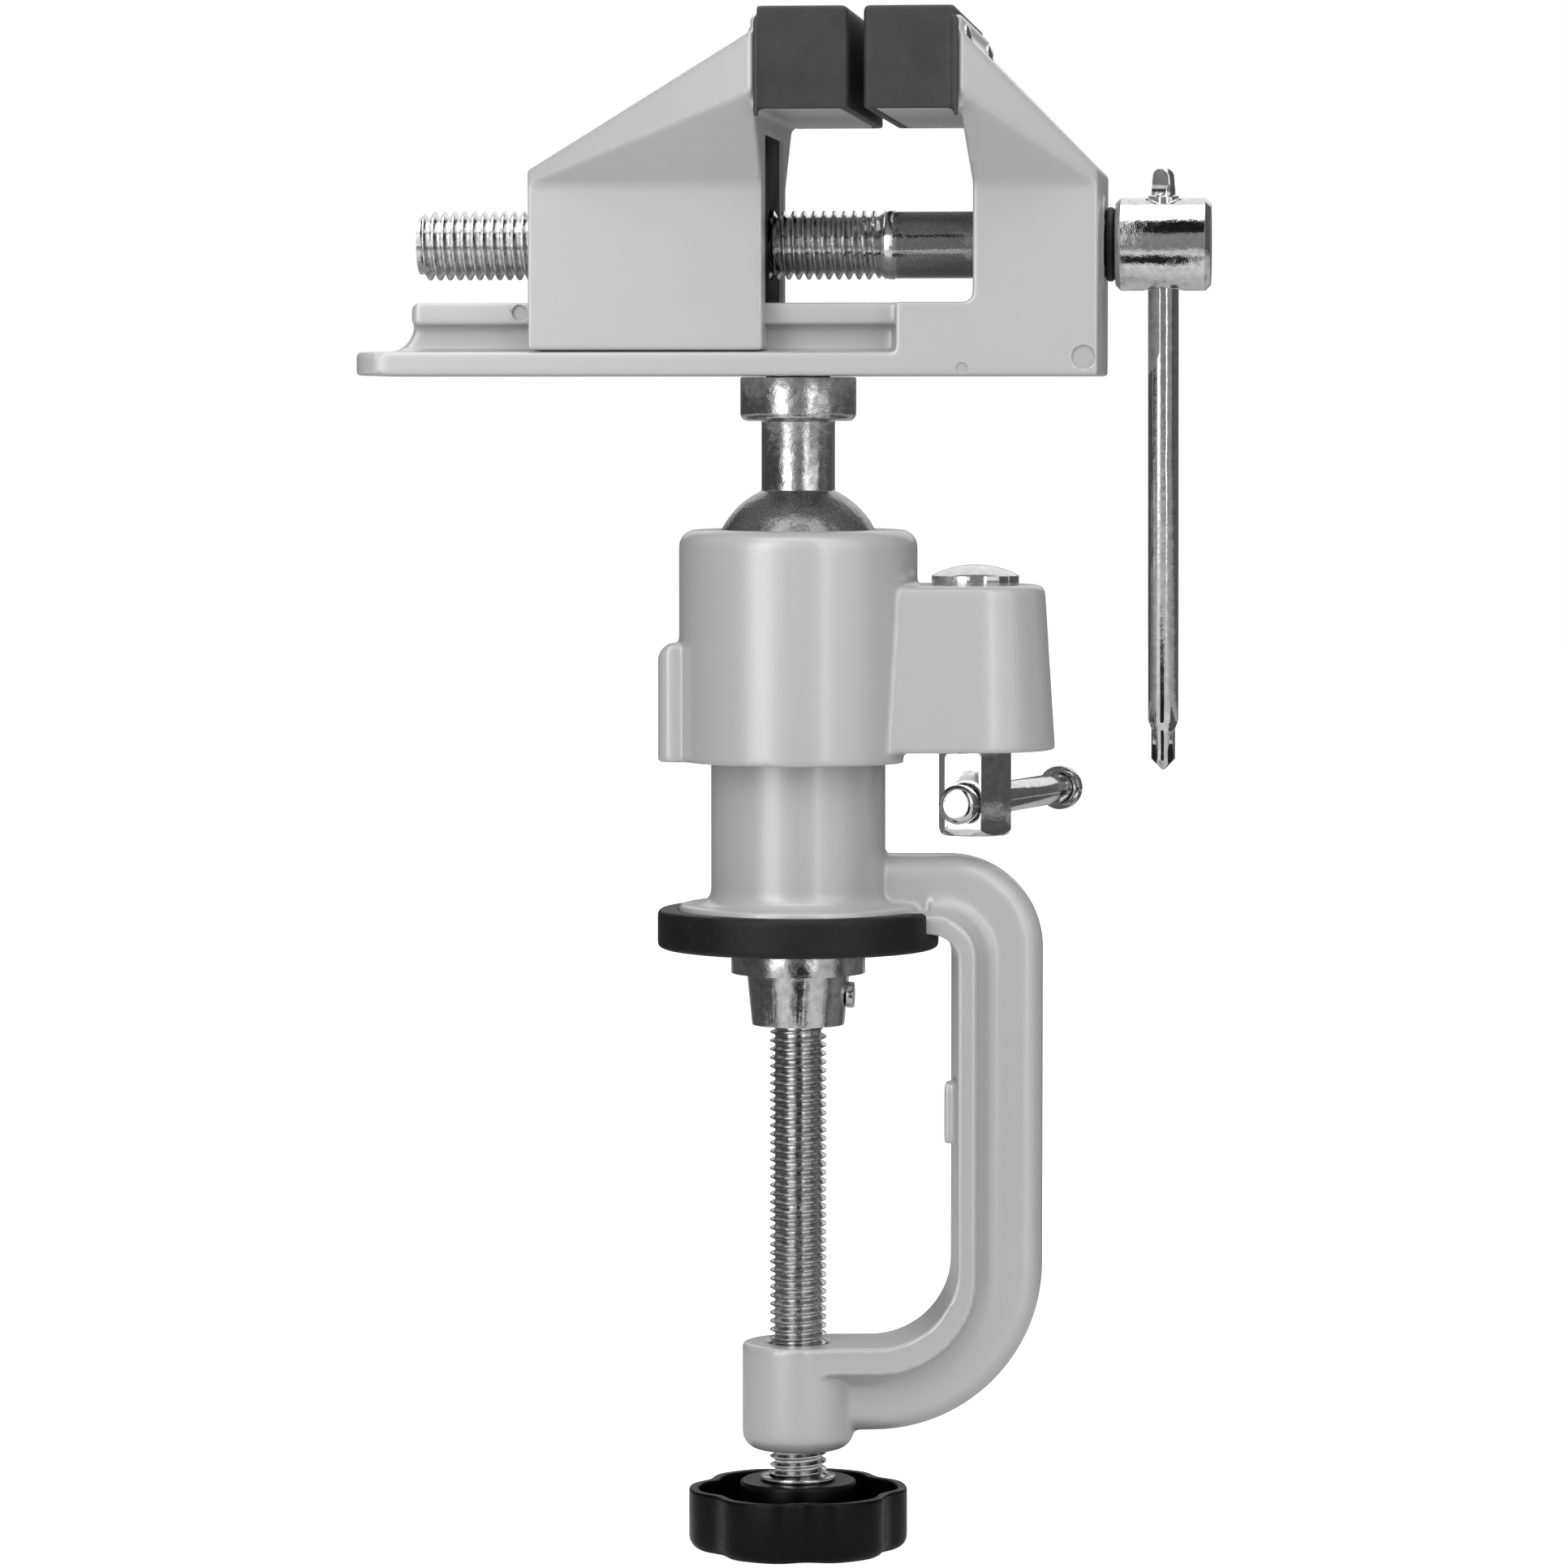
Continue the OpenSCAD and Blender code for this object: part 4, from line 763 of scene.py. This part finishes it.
def lobed_knob():
    """The knob, its foot at the height of its node's."""
    knob = run_tree(section_line("lobed_knob", KNOB_SECTION), lobed_knob_tree(), Steps=KNOB_STEPS,
                    Lobes=KNOB_LOBES, Hollow=KNOB_HOLLOW * MM, Power=KNOB_HOLLOW_POWER,
                    Phase=math.radians(KNOB_PHASE), Still_Radius=KNOB_HUB_R * MM,
                    Full_Radius=KNOB_FULL_R * MM, Corner_Steps=KNOB_CORNER_STEPS,
                    Material=KNOB_BLACK)
    outwards(knob)
    knob.data.transform(Matrix.Translation((0, 0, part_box("clamp_knob")[0].z)))
    shade(knob, SHARP_KNOB)
    return knob


# ---------------------------------------------------------------- screws of the rubber faces

def cap_screws_tree():
    """A domed screw with a cross in its head, its seat at each point and its head out along X."""
    t = Tree.geometry("cap_screws", [
        ("Outward", "Float", 1.0), ("Head Radius", "Float", 2.4 * MM),
        ("Head Height", "Float", SCREW_HEAD_H), ("Tip Radius", "Float", SCREW_TIP_R),
        ("Fullness", "Float", SCREW_FULLNESS), ("Shank Radius", "Float", SCREW_SHANK_R),
        ("Length", "Float", 8 * MM), ("Cross Width", "Float", CROSS_WIDTH),
        ("Cross Span", "Float", CROSS_SPAN), ("Cross Depth", "Float", CROSS_DEPTH),
        ("Rings", "Int", SCREW_RINGS), ("Sides", "Int", SCREW_SIDES),
        ("Material", "Material", None)])
    given = t.given

    def point(**parts):
        return t.add("ShaderNodeCombineXYZ", parts).outputs[0]

    height = given["Head Height"]
    axis = t.add("GeometryNodeCurvePrimitiveLine", {"End": point(Z=height)})
    rings = t.add("GeometryNodeResampleCurve", {"Curve": axis.outputs[0], "Count": given["Rings"]})
    share = t.add("GeometryNodeSplineParameter").outputs["Factor"]
    eased = t.maths("SUBTRACT", 1.0, t.maths("POWER", t.maths("SUBTRACT", 1.0, share), 2.0))
    placed = t.add("GeometryNodeSetPosition", {
        "Geometry": rings.outputs[0], "Position": point(Z=t.maths("MULTIPLY", eased, height))})
    fall = t.maths("POWER", t.maths("SUBTRACT", 1.0, t.maths("POWER", eased, given["Fullness"]),
                                    clamp=True), t.maths("DIVIDE", 1.0, given["Fullness"]))
    ring = t.maths("MAXIMUM", t.maths("MULTIPLY", fall, given["Head Radius"]), given["Tip Radius"])
    circle = t.add("GeometryNodeCurvePrimitiveCircle",
                   {"Resolution": given["Sides"], "Radius": 1.0})
    head = t.add("GeometryNodeCurveToMesh", {"Curve": placed.outputs[0], "Scale": ring,
                                             "Profile Curve": circle.outputs[0], "Fill Caps": True})
    # The bars that cut the cross lie half above the head, so they are twice as deep
    deep = t.maths("MULTIPLY", given["Cross Depth"], 2.0)
    cutters = []
    for size in (point(X=given["Cross Span"], Y=given["Cross Width"], Z=deep),
                 point(X=given["Cross Width"], Y=given["Cross Span"], Z=deep)):
        bar = t.add("GeometryNodeMeshCube", {"Size": size})
        cutters.append(t.add("GeometryNodeTransform", {
            "Geometry": bar.outputs["Mesh"], "Translation": point(Z=height)}).outputs[0])
    cut = t.add("GeometryNodeMeshBoolean", {"Mesh 1": head.outputs[0]}, operation="DIFFERENCE")
    for cutter in cutters:
        t.tree.links.new(cutter, cut.inputs["Mesh 2"])
    shank = t.add("GeometryNodeMeshCylinder", {
        "Vertices": given["Sides"], "Radius": given["Shank Radius"], "Depth": given["Length"]})
    below = t.add("GeometryNodeTransform", {
        "Geometry": shank.outputs["Mesh"],
        "Translation": point(Z=t.maths("MULTIPLY", given["Length"], -0.5))})
    screw = t.add("GeometryNodeJoinGeometry")
    for part in (cut.outputs[0], below.outputs[0]):
        t.tree.links.new(part, screw.inputs[0])
    each = t.add("GeometryNodeInstanceOnPoints", {
        "Points": given["Geometry"], "Instance": screw.outputs[0],
        "Rotation": point(Y=t.maths("MULTIPLY", given["Outward"], math.radians(90)))})
    solid = t.add("GeometryNodeRealizeInstances", {"Geometry": each.outputs[0]})
    named = t.add("GeometryNodeSetMaterial", {"Geometry": solid.outputs[0],
                                              "Material": given["Material"]})
    return t.finish(named.outputs[0])


CAP_SCREWS = cap_screws_tree()


def cap_screws(node):
    """The node's two screws, from its own box."""
    low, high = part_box(node)
    head_r = (high.z - low.z) / 2
    out = SCREW_SIDE[node]
    seat_x = high.x - SCREW_HEAD_H if out > 0 else low.x + SCREW_HEAD_H
    seats = [(seat_x, low.y + head_r, low.z + head_r), (seat_x, high.y - head_r, low.z + head_r)]
    mesh = bpy.data.meshes.new(node + "_screws")
    mesh.from_pydata(seats, [], [])
    screws = run_tree(new_object(node + "_screws", mesh), CAP_SCREWS, Outward=float(out),
                      Head_Radius=head_r, Head_Height=SCREW_HEAD_H, Tip_Radius=SCREW_TIP_R,
                      Fullness=SCREW_FULLNESS, Shank_Radius=SCREW_SHANK_R,
                      Length=high.x - low.x - SCREW_HEAD_H, Cross_Width=CROSS_WIDTH,
                      Cross_Span=CROSS_SPAN, Cross_Depth=CROSS_DEPTH, Rings=SCREW_RINGS,
                      Sides=SCREW_SIDES, Material=ZINC)
    shade(screws, SHARP_SCREW)
    return screws


# ---------------------------------------------------------------- tommy bar and screw shank

def skinned(name, rows, place):
    """A closed skin through rings: for each its height, and its points' angles and radii."""
    work = bmesh.new()
    rings = [[work.verts.new((r * MM * math.cos(t), r * MM * math.sin(t), z * MM))
              for t, r in ring] for z, ring in rows]
    count = len(rings[0])
    for below, above in zip(rings, rings[1:]):
        for i in range(count):
            j = (i + 1) % count
            work.faces.new((below[i], below[j], above[j], above[i]))
    work.faces.new(rings[0][::-1])
    work.faces.new(rings[-1])
    bmesh.ops.remove_doubles(work, verts=work.verts, dist=JOIN)
    bmesh.ops.recalc_face_normals(work, faces=work.faces)
    mesh = bpy.data.meshes.new(name)
    work.to_mesh(mesh)
    work.free()
    mesh.transform(place)
    skin = new_object(name, mesh)
    shade(skin, SHARP_STEEL)
    return skin


def shank_start(place):
    """The rounded start of the plain shank, where the thread runs out."""
    rows = [(z, [(math.tau * i / SHANK_SIDES, r) for i in range(SHANK_SIDES)])
            for z, r in SHANK_ROWS]
    return skinned("shank_start", rows, place)


# Least angle and sine, so that nothing is divided by zero
LEAST = 1e-6


def cross_ring(r, half_width):
    """Angles and radii round a bar with four wings."""
    eighth = math.radians(45)
    corner = min(math.asin(min(1.0, half_width / r)), eighth)
    first = ([corner * i / CROSS_WING_STEPS for i in range(CROSS_WING_STEPS)]
             + [corner + (eighth - corner) * i / CROSS_GROOVE_STEPS
                for i in range(CROSS_GROOVE_STEPS)])
    quarter = first + [eighth] + [2 * eighth - t for t in reversed(first[1:])]
    ring = []
    for turn in range(4):
        for t in quarter:
            fold = max(min(t, 2 * eighth - t), LEAST)
            ring.append((t + 2 * eighth * turn + math.radians(CROSS_TURN),
                         min(r, half_width / math.sin(fold))))
    return ring


def blade_ring(r, half_thick):
    """Angles and radii round a bar with two flats."""
    corner = math.asin(min(1.0, half_thick / r))
    flat = math.pi - 2 * corner
    half = ([corner * i / BLADE_EDGE_STEPS for i in range(BLADE_EDGE_STEPS)]
            + [corner + flat * i / BLADE_FLAT_STEPS for i in range(BLADE_FLAT_STEPS)]
            + [corner + flat + corner * i / BLADE_EDGE_STEPS for i in range(BLADE_EDGE_STEPS)])
    return [(t + math.pi * turn + math.radians(BLADE_TURN),
             min(r, half_thick / max(abs(math.sin(t)), LEAST))) for turn in range(2) for t in half]


def even_ring(r, share, first, second):
    """A round ring whose angles lie between those of two others."""
    return [(a + (b - a) * share, r) for (a, _), (b, _) in zip(first, second)]


def tommy_bar():
    """The bar with its cross-shaped foot and flat blade, as one closed skin through its rings."""
    rows = [(z - BAR_DOWN, cross_ring(r, wing)) for z, r, wing in CROSS_ROWS]
    tops = [(z, blade_ring(r, thick)) for z, r, thick in BLADE_ROWS]
    foot_z, foot = rows[-1]
    top_z, top = tops[0]
    plain = [(math.radians(CROSS_TURN) + math.tau * i / len(foot), BAR_R)
             for i in range(len(foot))]
    for i in range(1, BAR_RINGS):
        share = i / BAR_RINGS
        between = (even_ring(BAR_R, share * 2, foot, plain) if share < 0.5
                   else even_ring(BAR_R, share * 2 - 1, plain, top))
        rows.append((foot_z + (top_z - foot_z) * share, between))
    low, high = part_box("tommy_bar")
    place = (Matrix.Translation(((low.x + high.x) / 2, 0, LEAD_HEIGHT))
             @ Matrix.Rotation(math.radians(BAR_LEAN), 4, "X"))
    return skinned("tommy_bar_ringed", rows + tops, place)


# ---------------------------------------------------------------- pieces

for node in CELL:
    fit(cast(node), node)

for node in ("lock_bolt", "lock_nut", "lock_bar", "lock_bar_caps", "swivel_pad",
             "swivel_pin", "knob_insert", "yoke_pin", "ball_stud", "thrust_ring", "jaw_nut",
             "lock_yoke", "ball_seat"):
    fit(machined(node), node)
fit(machined("jaw_cover"), "jaw_cover", COVER_BLACK)
fit(tommy_bar(), "tommy_bar")

for node in ("fixed_cap_screws", "moving_cap_screws"):
    fit(cap_screws(node), node)

lead_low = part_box("lead_screw")[0]
lead_length = LEAD_THREAD_END - lead_low.x
lead_place = (Matrix.Translation((lead_low.x, 0, LEAD_HEIGHT))
              @ Matrix.Rotation(math.radians(90), 4, "Y"))
lead_head = beyond(cad_copy("lead_screw", "lead_head"), (LEAD_THREAD_END, 0, 0), (1, 0, 0))
fit(joined("lead_screw_cut", machined("lead_screw", lead_head),
           threaded_rod("lead_thread", lead_length, LEAD_THREAD_R, LEAD_PITCH, lead_place,
                        SCREW_STEEL),
           shank_start(lead_place @ Matrix.Translation((0, 0, lead_length)))),
    "lead_screw", SCREW_STEEL)

clamp_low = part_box("clamp_screw")[0]
clamp_tip = beyond(cad_copy("clamp_screw", "clamp_tip"), (0, 0, CLAMP_THREAD_TOP), (0, 0, 1))
fit(joined("clamp_screw_cut", machined("clamp_screw", clamp_tip),
           threaded_rod("clamp_thread", CLAMP_THREAD_TOP - clamp_low.z, CLAMP_THREAD_R,
                        CLAMP_PITCH, Matrix.Translation((0, 0, clamp_low.z)), ZINC)),
    "clamp_screw")

fit(lobed_knob(), "clamp_knob")

for node, obj in nodes.items():
    obj.data.materials.clear()
    obj.data.materials.append(SLOT_FINISH[node_slot[node]])


# ---------------------------------------------------------------- floor, light and camera

# The floor paper: how far it lies below the vise, half its side, and how bright the camera sees it
FLOOR_GAP = 2 * MM
FLOOR_HALF = 4.0
FLOOR_SEEN = 1.0

# Camera: turn to the right in degrees, height and distance, what it looks at, lens and film
VIEW_TURN = 5.5
VIEW_HEIGHT = 95 * MM
VIEW_DISTANCE = 1050 * MM
AIM = Vector((-2.5 * MM, 0, 28.6 * MM))
LENS = 138.1
FILM = 36
NEAREST, FARTHEST = 0.01, 50

# Cards round the vise that only its reflections see: turn from the front to the right and
# height, in degrees from and to, then distance and shade
STUDIO_CENTRE = Vector((0, 0, 0.08))
CARD_STEPS = 8
CARDS = {"card_front": (-8, 26, -38, 62, 0.95, 0.02),
         "card_middle": (-8, 30, -12, 28, 0.9, 0.44),
         "card_left": (-150, -48, -46, 55, 1.3, 0.16),
         "card_right": (70, 150, -46, 55, 1.3, 0.22),
         "card_back": (150, 210, -46, 8, 1.3, 0.30),
         "card_foot_front": (-8, 26, -45, -20, 0.25, 0.03),
         "card_foot_left": (-150, -48, -45, -20, 0.25, 0.12),
         "card_foot_right": (70, 150, -45, -20, 0.25, 0.12)}
# How much of the white surroundings falls on matt surfaces
AMBIENT = 0.34
# Lights: turn and height of the place, distance, width, height, watts, whether it shows in gloss
LIGHTS = {"window_left": (-30, 6, 0.85, 0.34, 1.4, 3.1, True),
          "fill": (-8, 40, 0.60, 0.5, 0.5, 1.35, False),
          "strip_right": (31, 6, 0.85, 0.10, 1.4, 1.2, True),
          "top": (0, 86, 0.95, 1.0, 0.9, 4.0, True),
          "fill_right": (44, 36, 0.55, 0.35, 0.5, 0.6, False)}


def towards(turn, height, distance):
    """The place that lies at this turn, height and distance from the middle of the studio."""
    turn, height = math.radians(turn), math.radians(height)
    return STUDIO_CENTRE + distance * Vector((math.sin(turn) * math.cos(height),
                                              -math.cos(turn) * math.cos(height), math.sin(height)))


def card(name, turn_from, turn_to, low, high, distance, shade_of_grey):
    """A curved card round the middle of the studio, seen in reflections but not by the camera."""
    row = CARD_STEPS + 1
    places = [towards(turn_from + (turn_to - turn_from) * i / CARD_STEPS,
                      low + (high - low) * j / CARD_STEPS, distance)
              for i in range(row) for j in range(row)]
    mesh = bpy.data.meshes.new(name)
    mesh.from_pydata(places, [], [(i * row + j, (i + 1) * row + j,
                                   (i + 1) * row + j + 1, i * row + j + 1)
                                  for i in range(CARD_STEPS) for j in range(CARD_STEPS)])
    obj = new_object(name, mesh)
    obj.data.materials.append(Finish(name, Base_Color=pale(shade_of_grey), Roughness=1.0,
                                     Specular_IOR_Level=0.0).material)
    for seen_by in ("visible_camera", "visible_diffuse", "visible_shadow"):
        setattr(obj, seen_by, False)


def softbox(name, turn_of, height_of, distance, width, height, power, in_gloss):
    """A rectangular light that faces the middle of the studio."""
    light = bpy.data.lights.new(name, "AREA")
    light.shape = "RECTANGLE"
    light.size, light.size_y = width, height
    light.energy = power
    obj = bpy.data.objects.new(name, light)
    bpy.context.scene.collection.objects.link(obj)
    obj.location = towards(turn_of, height_of, distance)
    obj.rotation_euler = (STUDIO_CENTRE - obj.location).to_track_quat("-Z", "Y").to_euler()
    obj.visible_glossy = in_gloss


def floor_paper():
    """Pale grained paper that is evenly bright to the camera alone."""
    m = Finish("floor_paper", Roughness=0.9, Specular_IOR_Level=0.1, Emission_Strength=1.0)
    grain = m.place(SKIN, Grain=2 * MM, Waves=60 * MM, Waviness=1.0)
    m.feed(Base_Color=m.mix(grain["Height"], pale(0.70), pale(0.73)))
    seen = m.add("ShaderNodeLightPath").outputs["Is Camera Ray"]
    m.feed(Emission_Color=m.mix(seen, pale(0.0), pale(FLOOR_SEEN)))
    return m.material


def floor():
    """A level sheet of the paper just below the vise."""
    half, height = FLOOR_HALF, cad_low.z - FLOOR_GAP
    mesh = bpy.data.meshes.new("floor")
    mesh.from_pydata([(-half, -half, height), (half, -half, height), (half, half, height),
                      (-half, half, height)], [], [(0, 1, 2, 3)])
    obj = new_object("floor", mesh)
    obj.data.materials.append(floor_paper())


floor()
for name, settings in CARDS.items():
    card(name, *settings)
for name, settings in LIGHTS.items():
    softbox(name, *settings)

world = bpy.data.worlds.new("studio")
world.use_nodes = True
sky = Tree(world.node_tree)
backdrop = world.node_tree.nodes["Background"]
backdrop.inputs["Color"].default_value = pale(1.0)
matt_light = sky.add("ShaderNodeLightPath").outputs["Is Diffuse Ray"]
sky.put(backdrop.inputs["Strength"], sky.ramp(matt_light, 0, 1, 1.0, AMBIENT))
bpy.context.scene.world = world
bpy.context.scene.view_settings.view_transform = "Standard"

camera = bpy.data.objects.new("camera", bpy.data.cameras.new("camera"))
bpy.context.scene.collection.objects.link(camera)
camera.data.lens = LENS
camera.data.sensor_width = FILM
view_turn = math.radians(VIEW_TURN)
camera.location = (VIEW_DISTANCE * math.sin(view_turn) + AIM.x,
                   -VIEW_DISTANCE * math.cos(view_turn), VIEW_HEIGHT)
camera.rotation_mode = "QUATERNION"
camera.rotation_quaternion = (AIM - camera.location).to_track_quat("-Z", "Y")
camera.data.clip_start, camera.data.clip_end = NEAREST, FARTHEST
bpy.context.scene.camera = camera
